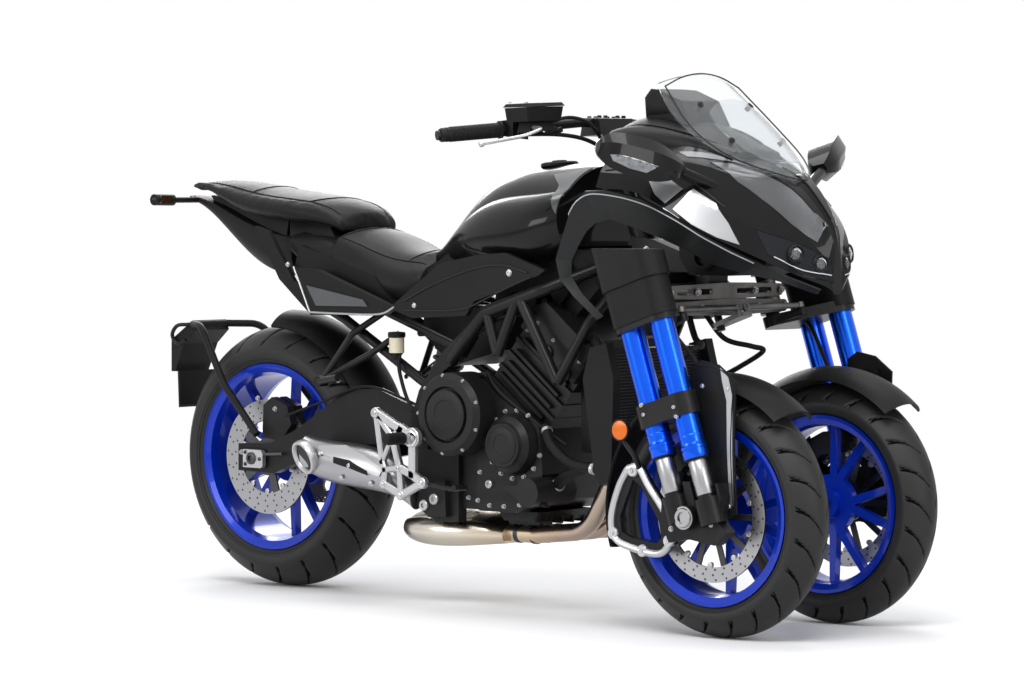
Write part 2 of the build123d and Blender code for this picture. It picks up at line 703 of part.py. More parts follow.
# The flared lip round each arch: outer and inner edge at each station, from its rear foot to the chin
lip_stations = [
    # outer x, y, z        inner x, y, z
    ((504, 291, 697), (516, 284, 706)),
    ((441, 293, 745), (456, 282, 752)),
    ((397, 292, 786), (414, 272, 792)),
    ((384, 292, 830), (413, 270, 828)),
    ((404, 292, 884), (431, 267, 862)),
    ((428, 293, 942), (450, 265, 892)),
    ((468, 292, 983), (474, 262, 912)),
    ((532, 290, 985), (511, 254, 921)),
    ((619, 281, 967), (581, 234, 898)),
    ((682, 265, 937), (634, 219, 878)),
    ((756, 235, 888), (692, 201, 852)),
    ((815, 200, 853), (744, 181, 823)),
    ((861, 163, 826), (805, 148, 804)),
    ((901, 119, 798), (869, 99, 786)),
    ((938, 44, 768), (922, 36, 758)),
]
lip_thickness = 6


def lip_section(side, outer, inner):
    """The lip's thin cross-section between its two edges."""
    start = Vector(outer[0], side * outer[1], outer[2])
    across = Vector(inner[0], side * inner[1], inner[2]) - start
    with BuildSketch(Plane(origin=start, x_dir=across, z_dir=across.cross(Vector(0, -side, 0)))) as section:
        Polygon((0, 0), (across.length, 0), (across.length, lip_thickness), (0, lip_thickness), align=None)
    return section.sketch


with BuildPart() as arches:
    for side, name in sides:
        loft([lip_section(side, outer, inner) for outer, inner in lip_stations], ruled=True)
save(arches, "arch_cowls")

with BuildPart() as cockpit:
    body([
        (424, 1050, 1120, 1150, 146, 168, 118),
        (520, 1050, 1130, 1158, 146, 168, 116),
        (650, 1050, 1100, 1116, 108, 122, 88),
        (728, 1046, 1070, 1078, 80, 90, 66),
    ])
    slab([(470, 1140), (466, 1200), (500, 1214), (566, 1188), (600, 1130)], 0, 140)
save(cockpit, "cockpit")


def screen_section(x, z, half_width, sag, thickness):
    """A thin crescent across the screen's slope, square to it."""
    slope = Vector(285, 0, -245).normalized()
    with BuildSketch(Plane(origin=(x, 0, z), x_dir=(0, 1, 0), z_dir=(slope.X, 0, slope.Z))) as section:
        with BuildLine():
            ThreePointArc((-half_width, -sag), (0, 0), (half_width, -sag))
            Line((half_width, -sag), (half_width - 2, -sag - thickness))
            ThreePointArc((half_width - 2, -sag - thickness), (0, -thickness), (-half_width + 2, -sag - thickness))
            Line((-half_width + 2, -sag - thickness), (-half_width, -sag))
        make_face()
    return section.sketch


with BuildPart() as screen:
    loft([screen_section(572, 1250, 135, 30, 4), screen_section(665, 1180, 158, 52, 4),
          screen_section(760, 1102, 130, 42, 4), screen_section(850, 1024, 34, 8, 4)])
save(screen, "windscreen")

# along the housing, half length fore and aft, half height
mirror_stations = [(0, 16, 16), (34, 34, 34), (84, 38, 46), (150, 36, 44), (196, 24, 30), (208, 12, 14)]

with BuildPart() as mirrors:
    for side, name in sides:
        rod((752, side * 160, 990), (716, side * 262, 1030), 12)
        spine = Vector(-92, side * 180, 52).normalized()
        housing = []
        for along, half_long, half_high in mirror_stations:
            place = Vector(716, side * 256, 1032) + spine * along
            with BuildSketch(Plane(origin=place, x_dir=(1, side * 0.5, 0), z_dir=spine)) as section:
                Polygon((-half_long, -half_high * 0.6), (half_long * 0.5, -half_high), (half_long, -half_high * 0.3),
                        (half_long * 0.9, half_high * 0.4), (half_long * 0.1, half_high), (-half_long, half_high * 0.6),
                        align=None)
            housing.append(section.sketch)
        loft(housing)
    loft([nose_section(*row) for row in nose_skin], mode=Mode.SUBTRACT)
save(mirrors, "mirrors")

# Controls and small pieces

bar_radius = 11
with BuildPart() as bar:
    rod(stem_point(826), stem_point(stem_z), stem_radius)
    slab([(262, 1108), (270, 1150), (318, 1150), (324, 1112)], 0, 120)
    for side, name in sides:
        pipe([(290, 0, 1140), (290, side * 90, 1140), (264, side * 200, 1130), (150, side * 432, 1108)],
             bar_radius, [60, 90])
save(bar, "handlebar")

# Grips, end weights, switch housings, master cylinders with their cups, and levers
bar_run = Vector(150, 432, 1108) - Vector(264, 200, 1130)


def bar_point(side, along):
    """A point on the bar's straight outer run, measured from its inner end."""
    place = Vector(264, 200, 1130) + bar_run.normalized() * along
    return (place.X, side * place.Y, place.Z)


with BuildPart() as grips:
    for side, name in sides:
        rod(bar_point(side, 104), bar_point(side, 232), 17)
        rod(bar_point(side, 232), bar_point(side, 236), 20)
        rod(bar_point(side, 54), bar_point(side, 100), 22)
        rod(bar_point(side, 18), bar_point(side, 40), 19)
        rod((264, side * 250, 1128), (300, side * 262, 1132), 15)
        rod((300, side * 226, 1136), (300, side * 292, 1130), 16)
        rod((292, side * 262, 1140), (287, side * 270, 1180), 19)
        pipe([(304, side * 284, 1128), (352, side * 304, 1120), (262, side * 402, 1090)], 6, [20])
        rod(bar_point(side, -2), bar_point(side, 262), bar_radius, Mode.SUBTRACT)
save(grips, "bar_controls")

with BuildPart() as pegs:
    for side, name in sides:
        slab([(-268, 452), (-190, 452), (-130, 425), (-85, 425), (-62, 390), (-70, 330), (-58, 290), (-100, 262),
              (-190, 262), (-225, 300), (-240, 380)], side * 242, 10)
        rod((-100, side * 247, 404), (-100, side * 330, 404), 13)
save(pegs, "footpegs")

with BuildPart() as stand:
    rod((stand_x, stand_y, stand_z), (stand_x - stand_length, stand_y, stand_z), 11)
    rod(stand_axis_point(-4), stand_axis_point(16), 20)
    block(stand_x - stand_length - 16, stand_x - stand_length, stand_y - 16, stand_y + 34,
          stand_z - 22, stand_z + 22)
    rod(stand_axis_point(-30), stand_axis_point(30), stand_pin_radius + running_gap, Mode.SUBTRACT)
save(stand, "side_stand")

with BuildPart() as rear_fender:
    with BuildSketch(Plane(origin=(rear_axle_x, 0, rear_radius), x_dir=(0, 1, 0), z_dir=(1, 0, 0))) as band:
        with BuildLine():
            ThreePointArc((-80, 322), (0, 360), (80, 322))
            Line((80, 322), (76, 318))
            ThreePointArc((76, 318), (0, 356), (-76, 318))
            Line((-76, 318), (-80, 322))
        make_face()
    revolve(band.sketch, axis=Axis((rear_axle_x, 0, rear_radius), (0, 1, 0)), revolution_arc=70)
    for side, name in sides:
        pipe([(-700, side * 138, 380), (-820, side * 132, 500), (-920, side * 110, 640), (-1000, side * 60, 640)],
             9, [80, 60])
    rod((-1000, -60, 640), (-1000, 60, 640), 9)
    slab([(-1000, 650), (-1075, 600), (-1075, 520), (-1062, 520), (-1030, 590), (-990, 625)], 0, 120)
save(rear_fender, "rear_mudguards")

with BuildPart() as signals:
    for side, name in sides:
        rod((-1000, side * 42, 952), (-1000, side * 130, 952), 7)
        rod((-1000, side * 130, 952), (-1000, side * 195, 953), 14)
save(signals, "rear_signals")

# Tilting arms and steering links

with BuildPart() as arms:
    for side, name in sides:
        rod(kingpin_point(side, carrier_bottom), kingpin_point(side, carrier_top), kingpin_radius + 11)
    for z in (lower_arm_z, upper_arm_z):
        x = kingpin_point(1, z)[0]
        for lead in (-arm_lead, arm_lead):
            with BuildSketch(Plane.YZ.offset(x + lead)) as arm:
                with Locations((-half_track, z), (half_track, z)):
                    Circle(14)
                with Locations((0, z)):
                    Circle(19)
                make_hull()
                with Locations((-148, z), (-70, z), (70, z), (148, z)):
                    SlotOverall(52, 13, mode=Mode.SUBTRACT)
            extrude(arm.sketch, amount=5, both=True)
        for side, name in sides:
            rod((x - arm_lead, side * half_track, z), (x + arm_lead, side * half_track, z), 11)
            rod((x - arm_lead, side * 105, z), (x + arm_lead, side * 105, z), 9)
    for side, name in sides:
        rod(kingpin_point(side, carrier_bottom - 20), kingpin_point(side, carrier_top + 20),
            kingpin_radius + running_gap, Mode.SUBTRACT)
save(arms, "tilting_arms")

# Steering links: a centre arm and two tie rods, always parallel to the steered legs
with BuildPart() as centre_arm:
    with BuildSketch(slant_plane(kingpin_point(0, shaft_bottom), caster)) as plan:
        Circle(20)
        with Locations((tie_rod_lead, -tie_rod_y), (tie_rod_lead, tie_rod_y)):
            Circle(11)
        make_hull()
        Circle(centre_pin_radius + running_gap, mode=Mode.SUBTRACT)
    extrude(plan.sketch, amount=5, both=True)
    for side, name in sides:
        rod(ball_point(side, 0, 0), ball_point(side, 0, 26), ball_pin_radius)
save(centre_arm, "steering_arm")

for side, name in sides:
    with BuildPart() as tie_rod:
        rod(ball_point(side, 10, 18), ball_point(side, half_track - 10, 18), 7)
        for pivot_y in (0, half_track):
            rod(ball_point(side, pivot_y, 12), ball_point(side, pivot_y, 24), 11)
            rod(ball_point(side, pivot_y, 10), ball_point(side, pivot_y, 28), ball_pin_radius + running_gap,
                Mode.SUBTRACT)
    save(tie_rod, f"tie_rod_{name}")

with BuildPart() as reservoir:
    with BuildSketch(Plane.XY.offset(596)) as cup:
        with Locations((-227, -150)):
            Circle(18)
    extrude(cup.sketch, amount=38)
save(reservoir, "brake_reservoir")
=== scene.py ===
import math

import bmesh
import bpy
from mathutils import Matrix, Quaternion, Vector
from mathutils.bvhtree import BVHTree
from mathutils.geometry import delaunay_2d_cdt


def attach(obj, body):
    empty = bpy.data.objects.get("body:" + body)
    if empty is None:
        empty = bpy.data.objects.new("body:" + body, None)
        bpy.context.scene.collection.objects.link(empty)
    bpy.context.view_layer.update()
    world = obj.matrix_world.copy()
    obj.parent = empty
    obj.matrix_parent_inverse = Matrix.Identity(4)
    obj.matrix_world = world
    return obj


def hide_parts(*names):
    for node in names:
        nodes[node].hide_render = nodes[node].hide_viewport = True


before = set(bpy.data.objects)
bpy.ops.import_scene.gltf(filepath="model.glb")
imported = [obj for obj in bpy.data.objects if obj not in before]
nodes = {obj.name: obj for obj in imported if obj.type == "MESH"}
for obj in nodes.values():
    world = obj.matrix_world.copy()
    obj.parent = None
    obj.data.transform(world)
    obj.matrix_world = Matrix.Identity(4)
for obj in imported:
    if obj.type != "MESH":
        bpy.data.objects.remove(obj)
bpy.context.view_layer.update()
sides = ((-1, "right"), (1, "left"))
millimetre = 0.001
frontAxle = {"x": 801, "z": 274}
rearAxle = {"x": -709, "z": 322.8}
print("frame loaded", len(nodes))

# camera and stage

cameraSetup = {
    "place": (6.4724, -7.5325, 1.0443), "azimuth": 40.65, "elevation": 2.48,
    "roll": 0.16, "lens": 147.78, "sensor": 36.0, "clip": 60,
}


def addToScene(name, data):
    thing = bpy.data.objects.new(name, data)
    bpy.context.scene.collection.objects.link(thing)
    return thing


def makeCamera(setup):
    data = bpy.data.cameras.new("viewCamera")
    data.lens = setup["lens"]
    data.sensor_width = setup["sensor"]
    data.clip_end = setup["clip"]
    camera = addToScene("viewCamera", data)
    turn, lift = math.radians(setup["azimuth"]), math.radians(setup["elevation"])
    back = Vector((math.sin(turn) * math.cos(lift), -math.cos(turn) * math.cos(lift), math.sin(lift)))
    roll = Quaternion((0, 0, 1), math.radians(setup["roll"]))
    camera.rotation_mode = "QUATERNION"
    camera.location = setup["place"]
    camera.rotation_quaternion = (-back).to_track_quat("-Z", "Y") @ roll
    bpy.context.scene.camera = camera


makeCamera(cameraSetup)
bpy.context.scene.view_settings.view_transform = "Standard"

lightSetup = {
    # name: place, target, width, depth, watts
    "keyLight": ((2.4, -3.2, 4.4), (0.2, 0, 0.6), 3.2, 2.2, 210),
    "topLight": ((-0.6, 0.6, 4.6), (0, 0, 0.6), 4.0, 2.2, 120),
    "frontLight": ((5.2, -1.0, 2.2), (0.6, 0, 0.7), 1.6, 2.4, 60),
    "backLight": ((-3.6, 3.4, 2.8), (0, 0, 0.7), 2.6, 1.6, 90),
    "sideLight": ((-2.2, -4.8, 1.6), (-0.3, 0, 0.6), 2.8, 1.2, 60),
}

for name, (place, target, width, depth, watts) in lightSetup.items():
    lamp = bpy.data.lights.new(name, "AREA")
    lamp.shape = "RECTANGLE"
    lamp.size, lamp.size_y, lamp.energy = width, depth, watts
    lampObject = addToScene(name, lamp)
    lampObject.location = place
    lampObject.rotation_mode = "QUATERNION"
    lampObject.rotation_quaternion = (Vector(target) - Vector(place)).to_track_quat("-Z", "Y")

# shader nodes


def setInputs(tree, node, inputs):
    # an input takes a value, or is fed by a socket
    for label, value in inputs.items():
        if isinstance(value, bpy.types.NodeSocket):
            tree.links.new(value, node.inputs[label])
        else:
            node.inputs[label].default_value = value


def addNode(tree, kind, inputs=None, **settings):
    node = tree.nodes.new("ShaderNode" + kind)
    for label, value in settings.items():
        setattr(node, label, value)
    setInputs(tree, node, inputs or {})
    return node


def seenBy(tree, *rays):
    # 1 for any of these kinds of ray
    path = addNode(tree, "LightPath")
    seen = path.outputs[rays[0]]
    for ray in rays[1:]:
        seen = addNode(tree, "Math", {0: seen, 1: path.outputs[ray]}, operation="MAXIMUM").outputs[0]
    return seen


worldSetup = {"sky": (0.97, 0.98, 1, 1), "strength": 0.42, "backdrop": (1, 1, 1, 1)}


def makeWorld(setup):
    # dim light on the object, plain white behind it and in its reflections
    world = bpy.data.worlds.new("studio")
    bpy.context.scene.world = world
    world.use_nodes = True
    tree = world.node_tree
    tree.nodes.clear()
    seen = seenBy(tree, "Is Camera Ray", "Is Transmission Ray", "Is Glossy Ray")
    sky = addNode(tree, "Background", {"Color": setup["sky"], "Strength": setup["strength"]})
    white = addNode(tree, "Background", {"Color": setup["backdrop"]})
    mix = addNode(tree, "MixShader", {0: seen, 1: sky.outputs[0], 2: white.outputs[0]})
    addNode(tree, "OutputWorld", {0: mix.outputs[0]})


makeWorld(worldSetup)


def makeGroup(name, inputs, outputs):
    group = bpy.data.node_groups.new(name, "ShaderNodeTree")
    for label, (kind, value) in inputs.items():
        socket = group.interface.new_socket(name=label, in_out="INPUT", socket_type="NodeSocket" + kind)
        if value is not None:
            socket.default_value = value
    for label, kind in outputs.items():
        group.interface.new_socket(name=label, in_out="OUTPUT", socket_type="NodeSocket" + kind)
    return group, group.nodes.new("NodeGroupInput"), group.nodes.new("NodeGroupOutput")


def makeNoise(tree, vector, scale, detail):
    return addNode(tree, "TexNoise", {"Detail": detail, "Vector": vector, "Scale": scale}).outputs["Fac"]


def makeSurfaceGroup():
    # mottled colour, spread roughness and fine grain for any finish
    group, source, result = makeGroup(
        "surfaceMottle",
        {"Vector": ("Vector", None), "Base": ("Color", (0.1, 0.1, 0.1, 1)), "Worn": ("Color", (0.2, 0.2, 0.2, 1)),
         "Wear": ("Float", 0.2), "Patch Scale": ("Float", 8.0), "Grain Scale": ("Float", 600.0),
         "Roughness": ("Float", 0.4), "Spread": ("Float", 0.1)},
        {"Color": "Color", "Roughness": "Float", "Height": "Float"})
    given = source.outputs
    patch = makeNoise(group, given["Vector"], given["Patch Scale"], 5.0)
    grain = makeNoise(group, given["Vector"], given["Grain Scale"], 2.0)
    ramp = addNode(group, "MapRange", {"From Min": 0.42, "From Max": 0.72, "Value": patch})
    weigh = addNode(group, "Math", {0: ramp.outputs["Result"], 1: given["Wear"]}, operation="MULTIPLY")
    mix = addNode(group, "Mix", {"Factor": weigh.outputs[0], "A": given["Base"], "B": given["Worn"]}, data_type="RGBA")
    spread = addNode(group, "Math", {0: patch, 1: given["Spread"], 2: given["Roughness"]}, operation="MULTIPLY_ADD")
    setInputs(group, result, {"Color": mix.outputs["Result"], "Roughness": spread.outputs[0], "Height": grain})
    return group


surfaceGroup = makeSurfaceGroup()


def makeMaterial(name, base, rough, metal=0.0, worn=None, wear=0.25, patch=7.0, grain=700.0, depth=0.0003,
                 spread=0.12, coat=0.0, coatRough=0.05, stretch=(1, 1, 1), specular=0.5):
    material = bpy.data.materials.new(name)
    material.use_nodes = True
    tree = material.node_tree
    coords = addNode(tree, "TexCoord")
    mapping = addNode(tree, "Mapping", {"Scale": stretch, "Vector": coords.outputs["Object"]})
    worn = worn or tuple(min(1, value * 1.7 + 0.01) for value in base)
    surface = addNode(tree, "Group", {
        "Vector": mapping.outputs["Vector"], "Base": (*base, 1), "Worn": (*worn, 1), "Wear": wear,
        "Patch Scale": patch, "Grain Scale": grain, "Roughness": rough - spread / 2, "Spread": spread,
    }, node_tree=surfaceGroup, name="surface")
    bump = addNode(tree, "Bump", {"Distance": depth, "Strength": 0.6, "Height": surface.outputs["Height"]})
    setInputs(tree, tree.nodes["Principled BSDF"], {
        "Base Color": surface.outputs["Color"], "Roughness": surface.outputs["Roughness"],
        "Normal": bump.outputs["Normal"], "Metallic": metal, "Coat Weight": coat, "Coat Roughness": coatRough,
        "Specular IOR Level": specular,
    })
    return material


finishes = {
    "glossBlack": dict(base=(0.003, 0.003, 0.0035), rough=0.3, coat=0.3, coatRough=0.03, depth=0.00004, wear=0.15,
                       specular=0.06),
    "greyLip": dict(base=(0.012, 0.0125, 0.013), rough=0.38, grain=1400, depth=0.0001, wear=0.1, specular=0.2),
    "mattePlastic": dict(base=(0.006, 0.006, 0.0064), rough=0.48, grain=1600, depth=0.0002, wear=0.2, specular=0.14),
    "blackMetal": dict(base=(0.007, 0.007, 0.0074), rough=0.34, grain=900, depth=0.0002, wear=0.3, specular=0.18),
    "castBlack": dict(base=(0.008, 0.008, 0.0085), worn=(0.017, 0.017, 0.0175), rough=0.42, grain=500, depth=0.0006,
                      wear=0.35, specular=0.2),
    "greyFacet": dict(base=(0.075, 0.077, 0.082), rough=0.3, metal=0.4, coat=0.5, grain=1800, depth=0.00004, wear=0.1,
                      specular=0.3),
    "castAlloy": dict(base=(0.16, 0.155, 0.15), worn=(0.05, 0.048, 0.046), rough=0.42, metal=0.9, grain=420,
                      depth=0.0006, wear=0.5, patch=14.0),
    "silverAlloy": dict(base=(0.46, 0.46, 0.47), worn=(0.3, 0.3, 0.31), rough=0.34, metal=0.85, grain=800),
    "blueTube": dict(base=(0.0, 0.085, 0.72), worn=(0.0, 0.13, 0.85), rough=0.24, metal=0.9, grain=1500,
                     depth=0.00005, wear=0.15, coat=0.3, specular=0.3),
    "bluePaint": dict(base=(0.0, 0.022, 0.36), worn=(0.0, 0.035, 0.45), rough=0.3, metal=0.4, coat=0.4,
                      depth=0.00008, wear=0.15, specular=0.2),
    "chrome": dict(base=(0.6, 0.6, 0.61), worn=(0.45, 0.45, 0.47), rough=0.14, metal=1.0, depth=0.00002, wear=0.1),
    "brushedSteel": dict(base=(0.36, 0.36, 0.37), worn=(0.26, 0.26, 0.28), rough=0.32, metal=1.0, grain=300,
                         depth=0.0001, stretch=(1, 6, 1), wear=0.3),
    "darkSteel": dict(base=(0.06, 0.06, 0.065), worn=(0.16, 0.155, 0.15), rough=0.42, metal=1.0, grain=600,
                      depth=0.0002, wear=0.4),
    "rubber": dict(base=(0.006, 0.006, 0.0064), worn=(0.012, 0.0118, 0.0115), rough=0.55, grain=900, wear=0.35,
                   specular=0.15),
    "tyreRubber": dict(base=(0.014, 0.014, 0.0145), worn=(0.024, 0.0235, 0.023), rough=0.5, wear=0.4, specular=0.25),
    # painted shade: near-black floor of the tread grooves
    "grooveShade": dict(base=(0.002, 0.002, 0.002), worn=(0.004, 0.004, 0.004), rough=0.8, wear=0.3, specular=0.03),
    "seatLeather": dict(base=(0.007, 0.007, 0.0074), worn=(0.013, 0.0128, 0.0126), rough=0.46, grain=520,
                        depth=0.0005, wear=0.3, specular=0.14),
    "amberLens": dict(base=(0.62, 0.13, 0.005), worn=(0.5, 0.08, 0.004), rough=0.22, grain=260, depth=0.0006,
                      coat=0.3, wear=0.4, patch=60.0, specular=0.2),
    "darkAmber": dict(base=(0.03, 0.012, 0.004), rough=0.2, grain=260, depth=0.0006, coat=0.6, wear=0.2, specular=0.2),
    "creamPlastic": dict(base=(0.62, 0.56, 0.42), worn=(0.5, 0.44, 0.3), rough=0.4, wear=0.2, depth=0.0001),
    "mirrorGlass": dict(base=(0.75, 0.78, 0.8), rough=0.03, metal=1.0, spread=0.01, depth=0.00001, wear=0.05),
    "redLens": dict(base=(0.5, 0.02, 0.02), worn=(0.7, 0.05, 0.04), rough=0.2, grain=260, depth=0.0005, coat=0.8,
                    wear=0.2),
    "displayGlass": dict(base=(0.01, 0.012, 0.016), rough=0.12, coat=1.0, depth=0.00002, wear=0.1),
    "clearLens": dict(base=(0.2, 0.21, 0.22), worn=(0.04, 0.042, 0.045), rough=0.14, metal=0.5, grain=120,
                      depth=0.001, coat=0.6, wear=0.6, patch=90.0),
    "brightPanel": dict(base=(0.36, 0.365, 0.375), rough=0.3, metal=0.75, coat=0.4, grain=1800, depth=0.00004,
                        wear=0.1),
}
paint = {name: makeMaterial(name, **values) for name, values in finishes.items()}

glassSetup = {
    # name: colour, roughness, transmission
    "clearScreen": ((0.93, 0.95, 0.96), 0.04, 0.96),
    "frostedScreen": ((0.8, 0.82, 0.84), 0.12, 0.94),
    "lampLens": ((0.95, 0.97, 1.0), 0.03, 0.9),
    "smokedLens": ((0.03, 0.032, 0.036), 0.08, 0.35),
}
for name, (colour, rough, clearness) in glassSetup.items():
    paint[name] = makeMaterial(name, base=colour, rough=rough, spread=0.02, depth=0.00002, wear=0.05)
    glassTree = paint[name].node_tree
    setInputs(glassTree, glassTree.nodes["Principled BSDF"],
              {"Transmission Weight": clearness, "IOR": 1.05, "Specular IOR Level": 0.3})

heatSetup = {
    # where the tint begins and ends along the header in metres, how strong it is, and its colours
    "from": -0.26, "to": 0.42, "strength": 0.65, "begin": (0.62, 0.60, 0.55, 1), "end": (0.36, 0.28, 0.21, 1),
    "between": {0.3: (0.66, 0.6, 0.5, 1), 0.55: (0.62, 0.44, 0.26, 1), 0.75: (0.42, 0.27, 0.22, 1),
                0.87: (0.3, 0.22, 0.17, 1)},
}


def makeHeatedPipe(setup):
    # stainless pipe tinted straw and blue by heat along its length
    material = makeMaterial("heatedPipe", base=(0.55, 0.5, 0.43), rough=0.26, metal=1.0, patch=9.0, wear=0.6,
                            worn=(0.4, 0.3, 0.2), grain=400, depth=0.0001)
    tree = material.node_tree
    coords = addNode(tree, "TexCoord")
    split = addNode(tree, "SeparateXYZ", {0: coords.outputs["Object"]})
    along = addNode(tree, "MapRange", {"From Min": setup["from"], "From Max": setup["to"], "Value": split.outputs["X"]})
    ramp = addNode(tree, "ValToRGB", {"Fac": along.outputs["Result"]})
    stops = ramp.color_ramp.elements
    stops[0].color, stops[1].color = setup["begin"], setup["end"]
    for place, colour in setup["between"].items():
        stops.new(place).color = colour
    surface = tree.nodes["surface"].outputs["Color"]
    mix = addNode(tree, "Mix", {"Factor": setup["strength"], "A": surface, "B": ramp.outputs["Color"]},
                  data_type="RGBA")
    setInputs(tree, tree.nodes["Principled BSDF"], {"Base Color": mix.outputs["Result"]})
    return material


paint["heatedPipe"] = makeHeatedPipe(heatSetup)
print("finishes made", len(paint))

nodeFinishes = {
    # finish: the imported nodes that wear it, by how their names start
    "tyreRubber": ("tyre",), "bluePaint": ("rim",), "blueTube": ("fork_tubes",), "heatedPipe": ("exhaust_pipes",),
    # dark steel on the discs shows through the drilled holes as painted shade
    "darkSteel": ("disc", "drive_chain", "rear_damper"), "brushedSteel": ("muffler",),
    "blackMetal": ("fork_yokes", "fork_foot", "main_frame", "rear_subframe", "swingarm", "handlebar", "side_stand",
                   "rear_caliper"),
    "mattePlastic": ("fork_cover", "fender", "radiator", "side_panels", "tail_cowl", "cockpit", "rear_mudguards",
                     "rear_signals"),
    "castBlack": ("engine",), "castAlloy": ("tilting_arms", "steering_arm", "tie_rod"), "greyLip": ("arch_cowls",),
    "glossBlack": ("fuel_tank", "nose_cowl", "mirrors"), "seatLeather": ("rider_seat", "passenger_seat"),
    "smokedLens": ("headlights",), "clearScreen": ("windscreen",), "rubber": ("bar_controls",),
    "silverAlloy": ("footpegs",), "creamPlastic": ("brake_reservoir",),
}
nodeSharpAngle = 28


def smoothFaces(data, angle=None):
    for polygon in data.polygons:
        polygon.use_smooth = True
    if angle:
        data.set_sharp_from_angle(angle=math.radians(angle))


for finish, starts in nodeFinishes.items():
    for nodeName, node in nodes.items():
        if nodeName.startswith(starts):
            node.data.materials.clear()
            node.data.materials.append(paint[finish])
            smoothFaces(node.data, nodeSharpAngle)
print("packed nodes finished")

# shared mesh making


def newPile():
    return {"verts": [], "faces": []}


def turned(step, steps):
    # cosine and sine of one step round a circle
    angle = step * 2 * math.pi / steps
    return math.cos(angle), math.sin(angle)


def flipped(points, side):
    # the same points on the right or left side
    return [(x, side * y, z) for x, y, z in points]


def bothSides(points):
    return flipped(points, -1) + flipped(points, 1)


def slab(outline, levels, side=1):
    # an outline of (x, z) points at each of the y levels
    return [(x, side * y, z) for y in levels for x, z in outline]


def axesFrom(direction):
    along = Vector(direction).normalized()
    first = along.orthogonal().normalized()
    if abs(along.y) > 0.9:
        first = Vector((1, 0, 0))
        first = (first - along * first.dot(along)).normalized()
    return first, along.cross(first), along


def addRings(pile, rings, closed=False):
    # joins equal rings of points into one skin, capped at its ends
    start = len(pile["verts"])
    count = len(rings[0])
    for ring in rings:
        pile["verts"].extend(ring)
    for row in range(len(rings) if closed else len(rings) - 1):
        low = start + row * count
        high = start + ((row + 1) % len(rings)) * count
        for step in range(count):
            after = (step + 1) % count
            pile["faces"].append((low + step, low + after, high + after, high + step))
    if not closed:
        last = start + (len(rings) - 1) * count
        pile["faces"] += [tuple(reversed(range(start, start + count))), tuple(range(last, last + count))]


def addLathe(pile, place, direction, profile, steps=32):
    # profile holds (radius, height along the axis) in millimetres
    first, second, along = axesFrom(direction)
    rings = []
    for radius, height in profile:
        centre = Vector(place) + along * height
        reach = max(radius, 0.05)
        rings.append([(centre + (first * cosine + second * sine) * reach) * millimetre
                      for cosine, sine in (turned(step, steps) for step in range(steps))])
    addRings(pile, rings)


def addBolt(pile, place, direction, radius=5.0, height=4.5):
    # a domed cap screw with its driving recess
    profile = [(1.25, -1.0), (1.25, 0.8), (1, 0.9), (1, height * 0.75), (0.85, height), (0.5, height),
               (0.45, height * 0.45)]
    addLathe(pile, place, direction, [(radius * share, rise) for share, rise in profile], 14)


def addSideBolts(pile, side, y, spots, radius=5.0, height=4.5):
    # bolts at (x, z) spots on a plane, facing outward
    for x, z in spots:
        addBolt(pile, (x, side * y, z), (0, side, 0), radius, height)


def addBoltCircle(pile, side, centre, reach, count, radius, height, begin=0.0, turn=None):
    # bolts evenly round an (x, y, z) centre
    x, y, z = centre
    for step in range(count):
        angle = math.radians(begin + step * (turn or 360 / count))
        spot = (x + reach * math.cos(angle), side * y, z + reach * math.sin(angle))
        addBolt(pile, spot, (0, side, 0), radius, height)


def smoothPath(points, per=6):
    # a soft curve through the given points
    spots = [Vector(point) for point in points]
    if len(spots) < 3:
        return spots
    padded = [spots[0] * 2 - spots[1]] + spots + [spots[-1] * 2 - spots[-2]]
    path = []
    for index in range(1, len(padded) - 2):
        before, start, end, after = padded[index - 1:index + 3]
        for step in range(per):
            share = step / per
            bend = 2 * before - 5 * start + 4 * end - after
            twist = 3 * start - before - 3 * end + after
            path.append(0.5 * (2 * start + (end - before) * share + bend * share ** 2 + twist * share ** 3))
    path.append(spots[-1])
    return path


def aheadAt(path, index):
    return (path[min(index + 1, len(path) - 1)] - path[max(index - 1, 0)]).normalized()


def addTube(pile, points, radius, steps=12, per=6):
    path = [point * millimetre for point in smoothPath(points, per)]
    normal = (path[1] - path[0]).orthogonal().normalized()
    rings = []
    for index, place in enumerate(path):
        ahead = aheadAt(path, index)
        normal = (normal - ahead * normal.dot(ahead)).normalized()
        side = ahead.cross(normal)
        rings.append([place + (normal * cosine + side * sine) * radius * millimetre
                      for cosine, sine in (turned(step, steps) for step in range(steps))])
    addRings(pile, rings)


def addHull(pile, points):
    # the skin round a few corner points
    work = bmesh.new()
    for point in points:
        work.verts.new(Vector(point) * millimetre)
    result = bmesh.ops.convex_hull(work, input=work.verts)
    spare = {item for item in result["geom_interior"] + result["geom_unused"] if isinstance(item, bmesh.types.BMVert)}
    bmesh.ops.delete(work, geom=list(spare), context="VERTS")
    bmesh.ops.dissolve_limit(work, angle_limit=0.02, verts=work.verts, edges=work.edges)
    start = len(pile["verts"])
    work.verts.index_update()
    pile["verts"].extend([vert.co.copy() for vert in work.verts])
    pile["faces"].extend([tuple(start + vert.index for vert in face.verts) for face in work.faces])
    work.free()


def finishPile(pile, name, finish, body, angle=35):
    data = bpy.data.meshes.new(name)
    data.from_pydata(pile["verts"], [], pile["faces"])
    data.materials.append(paint[finish])
    work = bmesh.new()
    work.from_mesh(data)
    bmesh.ops.recalc_face_normals(work, faces=work.faces)
    work.to_mesh(data)
    work.free()
    smoothFaces(data, angle)
    piece = addToScene(name, data)
    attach(piece, body)
    return piece


def makeHulls(name, finish, body, hulls, angle=30):
    # one piece of several hulls
    pile = newPile()
    for points in hulls:
        addHull(pile, points)
    return finishPile(pile, name, finish, body, angle)


